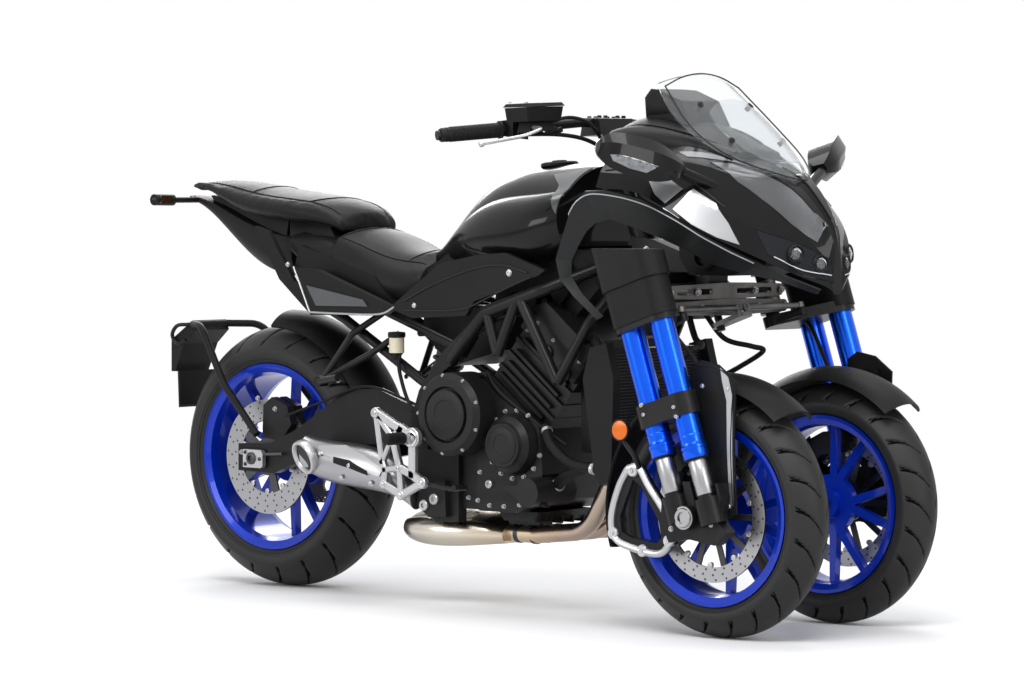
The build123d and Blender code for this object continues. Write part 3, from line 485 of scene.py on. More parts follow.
def makeTubes(name, finish, body, tubes):
    # one piece of several tubes, each its radius, steps round, steps along and points
    pile = newPile()
    for radius, steps, per, points in tubes:
        addTube(pile, points, radius, steps, per)
    return finishPile(pile, name, finish, body)


# tyres with cut tread

tyreSetup = {
    # name: node, body, x, y, axle height, half width, rim half, lip, shoulder drop, pitches
    "treadFrontRight": ("tyre_front_right", "wheel_front_right", 801, -205, 274, 60, 45, 203, 42, 22),
    "treadFrontLeft": ("tyre_front_left", "wheel_front_left", 801, 205, 274, 60, 45, 203, 42, 22),
    "treadRear": ("tyre_rear", "wheel_rear", -709, 0, 322.8, 95, 76, 229, 56, 20),
}
treadCut = {
    "depth": 4.6, "width": 3.6, "edge": 1.6, "around": 820, "across": 50,
    # grooves: where each begins and ends across the crown, how far it leans, its shift round the tyre
    "grooves": ((0.04, 0.98, 0.3, 0.0), (0.4, 0.98, 0.16, 0.5)),
}
wallRib = {"section": ((-1.4, -1.5), (-0.7, 0.9), (0.7, 0.9), (1.4, -1.5)), "steps": 120}


def grooveDepth(angle, across, radius, pitches):
    # depth of the sweeping grooves at one place on the crown
    pitch = 2 * math.pi / pitches
    total = 0.0
    reach = abs(across)
    for begin, finish, lean, shift in treadCut["grooves"]:
        if not begin < reach < finish:
            continue
        turn = angle + (0.5 * pitch if across < 0 else 0)
        line = shift * pitch + lean * (reach - begin) ** 0.8
        away = abs((turn - line + pitch / 2) % pitch - pitch / 2) * radius
        taper = min(1.0, (reach - begin) * 12, (finish - reach) * 12)
        width = treadCut["width"] * (0.55 + 0.45 * taper)
        total = max(total, taper * min(1.0, max(0.0, (width - away) / treadCut["edge"])))
    return total * treadCut["depth"]


def tyreProfile(half, rimHalf, lip, drop, axle):
    # across, radius and share of the crown, from wall to wall and back under the bead
    shoulder = axle - drop
    wall = [(rimHalf, lip - 2), (rimHalf + 1, lip), ((rimHalf + half) / 2 + 2, lip + 7),
            (half * 0.975, lip + (shoulder - lip) * 0.42), (half, lip + (shoulder - lip) * 0.68),
            (half * 0.99, shoulder - 3)]
    shares = [1 - 2 * step / treadCut["across"] for step in range(treadCut["across"] + 1)]
    return ([(across, radius, 0.0) for across, radius in wall]
            + [(half * 0.98 * share, axle - drop * abs(share) ** 2.05, share) for share in shares]
            + [(-across, radius, 0.0) for across, radius in reversed(wall)]
            + [(-rimHalf, lip - 12, 0.0), (rimHalf, lip - 12, 0.0)])


def makeTyre(name, node, body, x, y, axle, half, rimHalf, lip, drop, pitches):
    profile = tyreProfile(half, rimHalf, lip, drop, axle)
    around, rows = treadCut["around"], len(profile)
    verts, faces, deeps = [], [], []
    for turn in range(around):
        cosine, sine = turned(turn, around)
        for across, radius, share in profile:
            deep = grooveDepth(turn * 2 * math.pi / around, share, axle, pitches) if share else 0.0
            deeps.append(deep)
            reach = radius - deep
            verts.append(Vector((x + reach * cosine, y + across, axle + reach * sine)) * millimetre)
        low, high = turn * rows, ((turn + 1) % around) * rows
        for row in range(rows):
            after = (row + 1) % rows
            faces.append((low + row, low + after, high + after, high + row))
    tyre = finishPile({"verts": verts, "faces": faces}, name, "tyreRubber", body, 50)
    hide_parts(node)
    # the deepest groove faces get a near-black material: painted shade in the grooves
    tyre.data.materials.append(paint["grooveShade"])
    for polygon in tyre.data.polygons:
        if sum(deeps[index] for index in polygon.vertices) > 2.6 * treadCut["depth"]:
            polygon.material_index = 1
    ribs = newPile()
    for side in (-1, 1):
        for radius, out in ((lip + 9, (rimHalf + half) / 2 + 4), (lip + (axle - drop - lip) * 0.4, half * 0.97)):
            rings = []
            for step in range(wallRib["steps"]):
                cosine, sine = turned(step, wallRib["steps"])
                rings.append([Vector((x + (radius + a) * cosine, y + side * (out + b), axle + (radius + a) * sine))
                              * millimetre for a, b in wallRib["section"]])
            addRings(ribs, rings, closed=True)
    finishPile(ribs, name + "Ribs", "tyreRubber", body, 50)


for name, values in tyreSetup.items():
    makeTyre(name, *values)
print("tyres cut")

# drilled brake discs

discSetup = {
    # name: body, x, y of disc, axle height, outer radius, inner radius, rows of holes, holes a row
    "discFaceFrontRight": ("wheel_front_right", 801, -252, 274, 149, 115, 3, 60),
    "discFaceFrontLeft": ("wheel_front_left", 801, 252, 274, 149, 115, 3, 60),
    "discFaceRear": ("wheel_rear", -709, -88, 322.8, 141, 90, 4, 48),
}
discShared = {
    "face": 2.85, "hole": 2.9, "buttons": 10,
    "button": [(6.5, -1), (6.5, 0.7), (5.5, 1.1), (2.6, 1.1), (2.2, 0.5)],
}
cellCorners = [(1, 0), (1, 1), (0, 1), (-1, 1), (-1, 0), (-1, -1), (0, -1), (1, -1)]


def addDiscCell(pile, x, level, axle, low, high, middle, half, drilled):
    # one cell of the disc's face, with a round hole in it or without
    start = len(pile["verts"])
    centre, reach = (low + high) / 2, (high - low) / 2
    for radial, turn in cellCorners:
        angle, far = middle + turn * half, centre + radial * reach
        pile["verts"].append(Vector((x + far * math.cos(angle), level, axle + far * math.sin(angle))) * millimetre)
    if not drilled:
        pile["faces"].append(tuple(range(start, start + 8)))
        return
    cosine, sine = math.cos(middle), math.sin(middle)
    for corner in cellCorners:
        radial, turn = Vector(corner).normalized() * discShared["hole"]
        pile["verts"].append(Vector((x + (centre + radial) * cosine - turn * sine, level,
                                     axle + (centre + radial) * sine + turn * cosine)) * millimetre)
    for corner in range(8):
        after = (corner + 1) % 8
        pile["faces"].append((start + corner, start + after, start + 8 + after, start + 8 + corner))


def makeDiscFaces(name, body, x, y, axle, outer, inner, rows, count):
    # thin drilled faces on both sides of the dark core, whose dark paint shows in the holes as painted shade
    pile, buttons = newPile(), newPile()
    deep = (outer - inner) / rows
    for side in (-1, 1):
        for row in range(rows):
            for step in range(count):
                middle = (step + 0.5 * (row % 2)) * 2 * math.pi / count
                addDiscCell(pile, x, y + side * discShared["face"], axle, inner + deep * row, inner + deep * (row + 1),
                            middle, math.pi / count, (step + row) % 2 == 0)
    finishPile(pile, name, "brushedSteel", body, 35)
    for step in range(discShared["buttons"]):
        angle = step * 2 * math.pi / discShared["buttons"] + 0.3
        for side in (-1, 1):
            spot = (x + (inner - 5) * math.cos(angle), y + side * 2.4, axle + (inner - 5) * math.sin(angle))
            addLathe(buttons, spot, (0, side, 0), discShared["button"], 16)
    finishPile(buttons, name + "Buttons", "silverAlloy", body)


for name, values in discSetup.items():
    makeDiscFaces(name, *values)
print("discs drilled")

# front legs

forkSetup = {
    "rake": 18.5, "level": 482, "legs": (703.5, 794), "y": 330, "low": 404, "top": 838,
    # profiles of the turned parts on each leg, as (radius, height)
    "collar": [(27.6, 0), (28.6, 2), (28.6, 20), (30.0, 21), (30.0, 27), (28.0, 29), (27.3, 34)],
    "seal": [(26.6, -2), (27.8, 0), (27.8, 1.5), (26.0, 1.6)],
    "slider": [(20.6, 0), (21.1, 1), (21.1, 80), (20.6, 81)],
    "band": [(27.2, 0), (27.7, 1), (27.7, 5), (27.2, 6)],
    "cap": [(23, -2), (23, 6), (20, 9), (10, 9), (9, 5)],
    "footBolts": ((752, 262), (752, 246), (760, 330), (846, 332), (862, 262)),
}
spindleSetup = {
    # profile and steps of each part of the hollow spindle's end; the shaded bore is a dark disc just inside the end,
    # painted shade for the hollow
    "end": ([(22, -1), (22, 3), (20, 6), (13, 6), (12, -2), (11.5, -20)], 36),
    "ring": ([(25.5, -3), (25.5, 1.5), (22, 1.5)], 36),
    "bore": ([(11.8, -2), (11.8, -0.5), (0.1, -0.5)], 30),
}
staySetup = {
    "loop": ((606, 370), (636, 374), (664, 336), (716, 270), (724, 216), (696, 186), (620, 194), (570, 214), (560, 262),
             (580, 326), (606, 370)),
    "bosses": ((622, 366), (566, 224), (650, 190), (724, 216)), "boss": [(13, 0), (14, 3), (14, 12), (12, 15)],
    "y": 303.5, "radius": 8.5,
}
reflectorSetup = {
    "x": 612, "y": 340, "z": 457, "lens": [(22, -3), (22, 1), (20.5, 3), (12, 4.4), (0, 4.8)],
    "rim": [(23, -7), (25, -6), (25, 1.8), (23.4, 2.4), (21.8, 1.6)],
    "arm": [(612, 334, 457), (620, 330, 430), (640, 322, 400), (640, 306, 372)],
}


def legPoint(legX, side, z):
    lean = (z - forkSetup["level"]) * math.tan(math.radians(forkSetup["rake"]))
    return Vector((legX - lean, side * forkSetup["y"], z))


def makeForkDetails(side, name):
    body = "fork_" + name
    out = (0, side, 0)
    blue, bright, dark, bolts = newPile(), newPile(), newPile(), newPile()
    up = (legPoint(0, side, 100) - legPoint(0, side, 0)).normalized()
    for legX in forkSetup["legs"]:
        foot = legPoint(legX, side, forkSetup["low"])
        addLathe(blue, foot, up, forkSetup["collar"], 40)
        addLathe(dark, foot - up * 1.5, up, forkSetup["seal"], 40)
        addLathe(bright, legPoint(legX, side, 326), up, forkSetup["slider"], 40)
        addLathe(blue, legPoint(legX, side, 448), up, forkSetup["band"], 40)
        addLathe(dark, legPoint(legX, side, forkSetup["top"]), up, forkSetup["cap"], 24)
        for z in (496, 516):
            addBolt(bolts, legPoint(legX, side, z) + Vector((0, side * 33, 0)), out, 4.5)
    for z in (694, 706):
        spot = legPoint(forkSetup["legs"][0], side, z) + Vector((-30, side * 15, 8))
        addBolt(bolts, spot, (-1, side * 0.5, 0), 4.0)
    # hollow spindle end with its pinch bolts
    spindle = (frontAxle["x"], side * 352, frontAxle["z"])
    # the bore's dark disc goes with the dark parts as painted shade
    for part, pile in (("end", bright), ("ring", bright), ("bore", dark)):
        profile, steps = spindleSetup[part]
        addLathe(pile, spindle, out, profile, steps)
    addSideBolts(bolts, side, 333, forkSetup["footBolts"], 5.2)
    finishPile(blue, "forkCollars_" + name, "blueTube", body, 35)
    finishPile(bright, "forkSliders_" + name, "brushedSteel", body)
    finishPile(dark, "forkSealsCapsAndBoreShade_" + name, "rubber", body)
    finishPile(bolts, "forkBolts_" + name, "silverAlloy", body)
    # bright triangular stay and its bolts on the node's plate
    stay, stayBolts = newPile(), newPile()
    addTube(stay, slab(staySetup["loop"], (staySetup["y"],), side), staySetup["radius"], 10, 5)
    for x, z in staySetup["bosses"]:
        addLathe(stay, (x, side * 296, z), out, staySetup["boss"], 28)
    addSideBolts(stayBolts, side, 310, staySetup["bosses"])
    finishPile(stay, "fenderStay_" + name, "silverAlloy", body, 30)
    finishPile(stayBolts, "fenderStayBolts_" + name, "chrome", body)
    # amber side reflector on its bracket
    place = (reflectorSetup["x"], side * reflectorSetup["y"], reflectorSetup["z"])
    for part, pieceName, finish in (("lens", "reflector_", "amberLens"), ("rim", "reflectorRim_", "rubber")):
        pile = newPile()
        addLathe(pile, place, out, reflectorSetup[part], 40)
        finishPile(pile, pieceName + name, finish, body)
    makeTubes("reflectorArm_" + name, "blackMetal", body, [(6.5, 10, 4, flipped(reflectorSetup["arm"], side))])


for side, name in sides:
    makeForkDetails(side, name)
print("front legs detailed")

# seats

seatSetup = {
    # the skin's cell size, how far it starts inside the node, how far it may swell
    "riderCushion": {"node": "rider_seat", "voxel": 0.0055, "shrink": 0.003, "cap": 0.007, "fill": 0.7},
    "passengerCushion": {"node": "passenger_seat", "voxel": 0.0055, "shrink": 0.003, "cap": 0.006, "fill": 0.7},
}


def applyModifiers(piece):
    graph = bpy.context.evaluated_depsgraph_get()
    baked = bpy.data.meshes.new_from_object(piece.evaluated_get(graph), depsgraph=graph)
    piece.modifiers.clear()
    piece.data = baked


def swell(piece, cap):
    # padding blown up from inside, no further than the cap
    rest = [vertex.co.copy() for vertex in piece.data.vertices]
    cloth = piece.modifiers.new("padding", "CLOTH")
    cloth.settings.use_pressure = True
    cloth.settings.uniform_pressure_force = 4
    cloth.settings.quality = 4
    cloth.settings.effector_weights.gravity = 0
    cloth.collision_settings.use_collision = False
    cloth.collision_settings.use_self_collision = False
    for step in range(1, 21):
        bpy.context.scene.frame_set(step)
    applyModifiers(piece)
    bpy.context.scene.frame_set(1)
    for vertex, home in zip(piece.data.vertices, rest):
        move = vertex.co - home
        if move.length > cap:
            vertex.co = home + move.normalized() * cap


def makeCushion(name, setup):
    source = nodes[setup["node"]]
    data = source.data.copy()
    data.transform(source.matrix_world)
    piece = addToScene(name, data)
    remesh = piece.modifiers.new("evenSkin", "REMESH")
    remesh.mode = "VOXEL"
    remesh.voxel_size = setup["voxel"]
    smooth = piece.modifiers.new("softEdges", "SMOOTH")
    smooth.iterations = 6
    smooth.factor = 0.6
    applyModifiers(piece)
    for vertex in piece.data.vertices:
        vertex.co = vertex.co - vertex.normal * setup["shrink"]
    swell(piece, setup["cap"])
    piece.modifiers.new("evenOut", "SMOOTH").iterations = 4
    finer = piece.modifiers.new("finer", "SUBSURF")
    finer.levels = finer.render_levels = 1
    applyModifiers(piece)
    piece.data.materials.clear()
    piece.data.materials.append(paint["seatLeather"])
    smoothFaces(piece.data)
    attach(piece, "chassis")
    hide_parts(setup["node"])
    print("cushion", name, len(piece.data.polygons))
    return piece


cushions = {name: makeCushion(name, setup) for name, setup in seatSetup.items()}
print("seats padded")

# surfaces to lay trim on


def surfaceTree(*nodeNames):
    verts, faces = [], []
    for nodeName in nodeNames:
        node = nodes[nodeName]
        start = len(verts)
        verts += [node.matrix_world @ vertex.co for vertex in node.data.vertices]
        faces += [tuple(start + index for index in polygon.vertices) for polygon in node.data.polygons]
    return BVHTree.FromPolygons(verts, faces)


def castOn(tree, axis, sign, u, v):
    # where a line along one axis first meets a skin, and which way the skin faces there
    start, direction = Vector((0, 0, 0)), Vector((0, 0, 0))
    others = [index for index in range(3) if index != axis]
    start[others[0]], start[others[1]] = u * millimetre, v * millimetre
    start[axis], direction[axis] = sign * 1.6, -sign
    hit, normal, _, _ = tree.ray_cast(start, direction)
    if hit is not None and normal.dot(direction) > 0:
        normal = -normal
    return hit, normal


def insideOutline(point, outline):
    inside = False
    u, v = point
    for index in range(len(outline)):
        a, b = outline[index], outline[index - 1]
        if (a[1] > v) != (b[1] > v) and u < (b[0] - a[0]) * (v - a[1]) / (b[1] - a[1]) + a[0]:
            inside = not inside
    return inside


def drapePanel(name, tree, outline, axis, sign, finish, body="chassis", lift=1.2, thick=1.6, step=7.0):
    # a thin panel pressed onto a skin, its outline given across the pressing axis
    points = []
    for index in range(len(outline)):
        a, b = Vector(outline[index]), Vector(outline[(index + 1) % len(outline)])
        parts = max(1, int((b - a).length / step))
        points += [a.lerp(b, part / parts) for part in range(parts)]
    border = len(points)
    edges = [(index, (index + 1) % border) for index in range(border)]
    lowU, highU = min(p[0] for p in outline), max(p[0] for p in outline)
    lowV, highV = min(p[1] for p in outline), max(p[1] for p in outline)
    u = lowU + step / 2
    while u < highU:
        v = lowV + step / 2
        while v < highV:
            spot = Vector((u, v))
            if insideOutline(spot, outline) and all((spot - p).length > step * 0.5 for p in points[:border]):
                points.append(spot)
            v += step
        u += step
    flat = delaunay_2d_cdt(points, edges, [list(range(border))], 1, 0.001)
    verts, keep = [], {}
    for index, point in enumerate(flat[0]):
        hit, normal = castOn(tree, axis, sign, point.x, point.y)
        if hit is not None:
            keep[index] = len(verts)
            verts.append(hit + normal * lift * millimetre)
    faces = [tuple(keep[index] for index in face) for face in flat[2] if all(index in keep for index in face)]
    panel = finishPile({"verts": verts, "faces": faces}, name, finish, body, 45)
    solid = panel.modifiers.new("panelThickness", "SOLIDIFY")
    solid.thickness = thick * millimetre
    solid.offset = -1 if faces and panel.data.polygons[0].normal[axis] * sign > 0 else 1
    panel.modifiers.new("rimSplit", "EDGE_SPLIT").split_angle = 0.6
    return panel


def drapeLine(pile, tree, points, axis, sign, radius=1.2, sink=0.4):
    # a raised bead or seam that follows a skin
    run = []
    for point in smoothPath([Vector((u, v, 0)) for u, v in points], 8):
        hit, normal = castOn(tree, axis, sign, point.x, point.y)
        if hit is not None:
            run.append((hit + normal * (radius - sink) * millimetre) / millimetre)
    if len(run) > 2:
        addTube(pile, run, radius, 8, 1)


# nose: bright panels, creases, chin and lamps

noseSetup = {
    # side view outlines, x and z
    "panels": {
        "shoulderPanel": [(622, 1016), (668, 1012), (704, 990), (676, 958), (650, 978)],
        "flankPanel": [(722, 990), (774, 958), (804, 915), (828, 868), (786, 884), (736, 912), (694, 946)],
    },
    # plan view outlines, x and y on the left
    "facets": {
        "browFacet": [(714, 150), (740, 112), (800, 78), (862, 52), (912, 34), (940, 14), (930, 42), (884, 82),
                      (830, 116), (782, 140)],
        "crownFacet": [(640, 172), (700, 120), (760, 78), (800, 62), (742, 98), (706, 140), (668, 176)],
    },
    # side view creases and their bead, then the crown's
    "creases": (([(620, 962), (690, 930), (760, 880), (830, 832)], 1.6),
                ([(512, 1030), (580, 1036), (650, 1026), (720, 1000), (790, 950)], 1.4)),
    "crown": ([(800, 0), (850, 0), (900, 0), (936, 0)], 2.0),
}
noseTree = surfaceTree("nose_cowl")
noseLines = newPile()
for side, name in sides:
    for panelName, outline in noseSetup["panels"].items():
        drapePanel(panelName + "_" + name, noseTree, outline, 1, side, "brightPanel")
    for panelName, outline in noseSetup["facets"].items():
        drapePanel(panelName + "_" + name, noseTree, [(x, side * y) for x, y in outline], 2, 1, "greyFacet")
    for points, bead in noseSetup["creases"]:
        drapeLine(noseLines, noseTree, points, 1, side, bead)
drapeLine(noseLines, noseTree, noseSetup["crown"][0], 2, 1, noseSetup["crown"][1])
finishPile(noseLines, "noseSeams", "greyLip", "chassis")

lampSetup = {
    # front view places and bright edge lines, y and z on the left; profiles from the lamp's radius
    "places": ((48, 824), (100, 846)), "radius": 17, "sunk": 3,
    "bezel": [(5, -10), (5, 4), (2, 7), (-1, 3), (-1, -6)],
    "reflector": [(-1.5, -5), (-1.5, 3), (-5, 0), (-15, -4)],
    "lens": [(-5, -2), (-6, 4), (-10, 7), (-14, 8.5), (-17, 8.5)],
    "lines": ([(18, 848), (60, 868), (110, 887), (158, 902)], [(24, 800), (60, 806), (96, 816), (140, 842)]),
}
lampTree = surfaceTree("headlights")
for side, name in sides:
    lampPiles = {"bezel": newPile(), "reflector": newPile(), "lens": newPile()}
    facing = Vector((1, side * 0.35, 0.1)).normalized()
    for y, z in lampSetup["places"]:
        hit, _ = castOn(lampTree, 0, 1, side * y, z)
        place = hit / millimetre - facing * lampSetup["sunk"]
        for part, pile in lampPiles.items():
            addLathe(pile, place, facing, [(lampSetup["radius"] + out, rise) for out, rise in lampSetup[part]], 36)
    for line in lampSetup["lines"]:
        drapeLine(lampPiles["reflector"], lampTree, [(side * y, z) for y, z in line], 0, 1, 1.7)
    finishPile(lampPiles["bezel"], "lampBezels_" + name, "mattePlastic", "chassis")
    finishPile(lampPiles["reflector"], "lampReflectors_" + name, "chrome", "chassis")
    finishPile(lampPiles["lens"], "lampLenses_" + name, "lampLens", "chassis")

chinSetup = {
    "shell": [(596, 112, 836), (600, 118, 930), (816, 84, 818), (826, 56, 880), (730, 104, 796), (622, 108, 796)],
    "vent": (668, 106, 838), "ventProfile": [(30, 0), (30, 14), (27, 17), (21, 17), (20, 6), (0.1, 6)],
}
chin = newPile()
addHull(chin, bothSides(chinSetup["shell"]))
for side, name in sides:
    addLathe(chin, flipped([chinSetup["vent"]], side)[0], (0, side, 0), chinSetup["ventProfile"], 32)
finishPile(chin, "innerCowl", "mattePlastic", "chassis", 30)
print("nose trimmed")

# windscreen edge, inner panel and screws, with the instrument behind

screenSetup = {
    "screws": ((640, 92), (732, 96)), "head": [(7.5, -0.5), (7.5, 1.2), (6.4, 2.4), (3.4, 2.6), (3.0, 1.4)],
    "sideEdge": [(572, 135, 1220), (665, 158, 1128), (760, 130, 1060), (850, 34, 1016)],
    "topEdge": [(572, 135, 1220), (572, 70, 1242), (572, 0, 1250), (572, -70, 1242), (572, -135, 1220)],
    "inner": [(664, 92), (700, 104), (760, 88), (812, 52), (826, 0), (812, -52), (760, -88), (700, -104), (664, -92),
              (652, -40), (652, 40)],
}
screenTree = surfaceTree("windscreen")
screws = newPile()
for x, y in screenSetup["screws"]:
    for side in (-1, 1):
        hit, normal = castOn(screenTree, 2, 1, x, side * y)
        addLathe(screws, hit / millimetre, normal, screenSetup["head"], 18)
        addLathe(screws, hit / millimetre - normal * 6, normal, [(6, -10), (6, 2)], 14)
finishPile(screws, "screenScrews", "mattePlastic", "chassis")
lowEdge = flipped(screenSetup["sideEdge"], -1) + list(reversed(screenSetup["sideEdge"]))
makeTubes("screenEdge", "greyLip", "chassis", [(1.8, 8, 6, lowEdge), (1.8, 8, 6, screenSetup["topEdge"])])
drapePanel("innerScreen", screenTree, screenSetup["inner"], 2, 1, "frostedScreen", lift=2.0, thick=1.2, step=12)

instrumentSetup = {
    # side view outlines with the half widths they span
    "body": ([(462, 1150), (458, 1196), (476, 1216), (512, 1210), (560, 1186), (572, 1156)], 66),
    "belly": ([(468, 1160), (466, 1192), (500, 1200), (552, 1176)], 74),
    "glass": ([(456, 1156), (460, 1200), (458, 1156), (463, 1200)], 56),
    "buttons": (-40, 0, 40), "button": [(5, 0), (5, 5), (4, 6)],
    "beads": [(440, 120), (520, 126), (600, 112), (680, 84)],
}
instrument = {part: slab(instrumentSetup[part][0], (-instrumentSetup[part][1], instrumentSetup[part][1]))
              for part in ("body", "belly", "glass")}
makeHulls("instrumentHousing", "mattePlastic", "chassis", [instrument["body"] + instrument["belly"]])
makeHulls("instrumentGlass", "displayGlass", "chassis", [instrument["glass"]])
buttons, beads = newPile(), newPile()
for y in instrumentSetup["buttons"]:
    addLathe(buttons, (470, y, 1150), (-1, 0, 0.2), instrumentSetup["button"], 14)
finishPile(buttons, "instrumentButtons", "rubber", "chassis")
cockpitTree = surfaceTree("cockpit")
for side, name in sides:
    drapeLine(beads, cockpitTree, [(x, side * y) for x, y in instrumentSetup["beads"]], 2, 1, 2.2)
finishPile(beads, "cockpitBeads", "mattePlastic", "chassis")

# mirrors: glass behind, clear signal lens ahead

mirrorSetup = {
    # facing, finish, lift, thickness, rear view outline on the left as y and z
    "mirrorLens": (1, "clearLens", 0.9, 1.0, [(338, 1040), (372, 1052), (410, 1064), (432, 1066), (424, 1052),
                                              (392, 1036), (356, 1026)]),
    "mirrorGlass": (-1, "mirrorGlass", 1.2, 1.2, [(318, 1026), (330, 1068), (380, 1096), (420, 1098), (434, 1078),
                                                  (420, 1050), (370, 1022)]),
}
mirrorTree = surfaceTree("mirrors")
for side, name in sides:
    for part, (facing, finish, lift, thick, outline) in mirrorSetup.items():
        drapePanel(part + "_" + name, mirrorTree, [(side * y, z) for y, z in outline], 0, facing, finish, lift=lift,
                   thick=thick, step=6)

# engine: bolts, ribs, caps, hoses

engineSetup = {
    # bolt circles: side, centre, reach, count, radius, height, first angle, angle between
    "circles": ((-1, (151, 160, 396), 80, 12, 4.6, 6, 58, 26), (1, (151, 160, 396), 84, 10, 4.6, 6, 20, 36),
                (-1, (-3, 219, 461), 92, 9, 3.6, 4, 100, 40)),
    # bolts on the right covers by their plane
    "covers": {136: ((-84, 536), (-92, 470), (-88, 350), (-60, 290), (-10, 262), (24, 300)),
               160: ((46, 326), (40, 260), (76, 250), (120, 250), (168, 256), (196, 290))},
    # plugs and caps on the right: centre and profile
    "plugs": (((76, -160, 300), [(10, 0), (10, 6), (8, 8), (5, 8), (4.5, 4)]),
              ((-123, -168, 240), [(13, -4), (13, 3), (11, 5), (6, 5), (5, 1)]),
              ((-91, -168, 256), [(13, -4), (13, 3), (11, 5), (6, 5), (5, 1)])),
    "caps": (((-3, -228, 461), 56, [(58, -4), (58, 1.5), (55, 3), (34, 3), (33, 1.5), (0.1, 1.5)]),
             ((151, -206, 396), 48, [(44, -4), (44, 1), (41, 3), (25, 3), (24, 1.5), (0.1, 1.5)]),
             ((60, -168, 500), 24, [(20, -4), (20, 8), (17, 12), (6, 12), (6, 16), (3, 17)])),
    "head": {"y": 143, "caps": ((232, 610), (286, 566)), "cap": [(20, -2), (20, 5), (17, 8), (9, 8), (8, 4)],
             "bolts": ((176, 660), (206, 678), (254, 640), (300, 604), (332, 592))},
    "ribs": {"rows": 5, "first": (82, 556), "pitch": (24, 27), "section": ((0, 0), (128, -102), (133, -96), (5, 6))},
    "coverRib": ((130, 299), (218, 308), (264, 256), (191, 263)),
    "sumpRib": ((70, 236), (172, 236), (168, 204), (74, 204)),
}
engineBolts, engineCaps, engineRibs = newPile(), newPile(), newPile()
for circle in engineSetup["circles"]:
    addBoltCircle(engineBolts, *circle)
for y, spots in engineSetup["covers"].items():
    addSideBolts(engineBolts, -1, y, spots, 4.4, 6)
for place, profile in engineSetup["plugs"]:
    addLathe(engineBolts, place, (0, -1, 0), profile, 24)
for place, steps, profile in engineSetup["caps"]:
    addLathe(engineCaps, place, (0, -1, 0), profile, steps)
head, ribs = engineSetup["head"], engineSetup["ribs"]
for side in (-1, 1):
    for x, z in head["caps"]:
        addLathe(engineCaps, (x, side * head["y"], z), (0, side, 0), head["cap"], 28)
    addSideBolts(engineBolts, side, head["y"], head["bolts"], 3.8, 5)
    for row in range(ribs["rows"]):
        x, z = (start + row * pitch for start, pitch in zip(ribs["first"], ribs["pitch"]))
        addHull(engineRibs, slab([(x + dx, z + dz) for dx, dz in ribs["section"]], (124, 137), side))
addHull(engineRibs, slab(engineSetup["coverRib"], (-182, -166)))
for row in range(ribs["rows"]):
    addHull(engineRibs, slab(engineSetup["sumpRib"], (-90 + row * 40, -84 + row * 40)))
finishPile(engineBolts, "engineBolts", "silverAlloy", "chassis", 35)
finishPile(engineCaps, "engineCaps", "castBlack", "chassis", 35)
finishPile(engineRibs, "engineRibs", "castBlack", "chassis", 25)

hoseSetup = {
    # name: radius, points
    "coolantHoseLow": (14, [(250, -128, 300), (300, -150, 330), (372, -160, 352), (410, -165, 352)]),
    "coolantHoseTop": (13, [(330, -120, 640), (366, -140, 650), (400, -150, 622), (416, -150, 600)]),
    "pumpPipe": (12, [(236, -150, 440), (270, -168, 400), (330, -172, 362), (404, -166, 350)]),
    "breatherHose": (8, [(60, 120, 580), (20, 140, 620), (60, 150, 680), (110, 120, 720)]),
    "coolantHoseLeft": (13, [(320, 130, 640), (366, 150, 640), (402, 158, 600), (420, 158, 570)]),
    "wireLoomRight": (6, [(-60, -150, 560), (-20, -158, 600), (40, -168, 650), (120, -172, 690), (210, -160, 700)]),
    "wireLoomLow": (5, [(60, -150, 560), (110, -170, 520), (180, -160, 470), (240, -150, 430), (300, -150, 400)]),
    "brakePipeRear": (3.2, [(-100, -150, 450), (-200, -150, 486), (-330, -150, 512), (-470, -148, 470),
                            (-600, -140, 430)]),
    "reservoirHose": (4.5, [(-216, -150, 598), (-214, -156, 560), (-190, -160, 500), (-160, -165, 460)]),
}
clampedHoses = ("coolantHoseLow", "coolantHoseTop", "pumpPipe", "coolantHoseLeft")
clampProfile = ((0.4, 0), (1.6, 0.8), (1.6, 7), (0.4, 8))  # from the hose's radius
clamps = newPile()
for name, (radius, points) in hoseSetup.items():
    makeTubes(name, "rubber", "chassis", [(radius, 14, 8, points)])
    if name not in clampedHoses:
        continue
    for near, beyond in ((0, 1), (-1, -2)):
        along = (Vector(points[beyond]) - Vector(points[near])).normalized()
        addLathe(clamps, Vector(points[near]) + along * 8, along,
                 [(radius + out, rise) for out, rise in clampProfile], 24)
finishPile(clamps, "hoseClamps", "silverAlloy", "chassis")
print("engine dressed")

# radiator fins across the core's face

finSetup = {
    "rows": 38, "bottom": 352, "pitch": 7, "face": 440.9, "top": 624, "lean": 0.0759, "halfWidth": 150,
    "section": ((-1, 0), (3.2, 0), (3.2, 1.6), (-1, 1.6)),
}
fins = []
for row in range(finSetup["rows"]):
    z = finSetup["bottom"] + row * finSetup["pitch"]
    x = finSetup["face"] + (finSetup["top"] - z) * finSetup["lean"]
    fins.append(slab([(x + dx, z + dz) for dx, dz in finSetup["section"]],
                     (-finSetup["halfWidth"], finSetup["halfWidth"])))
makeHulls("radiatorFins", "darkSteel", "chassis", fins)

# rider's heel bracket, pegs and levers

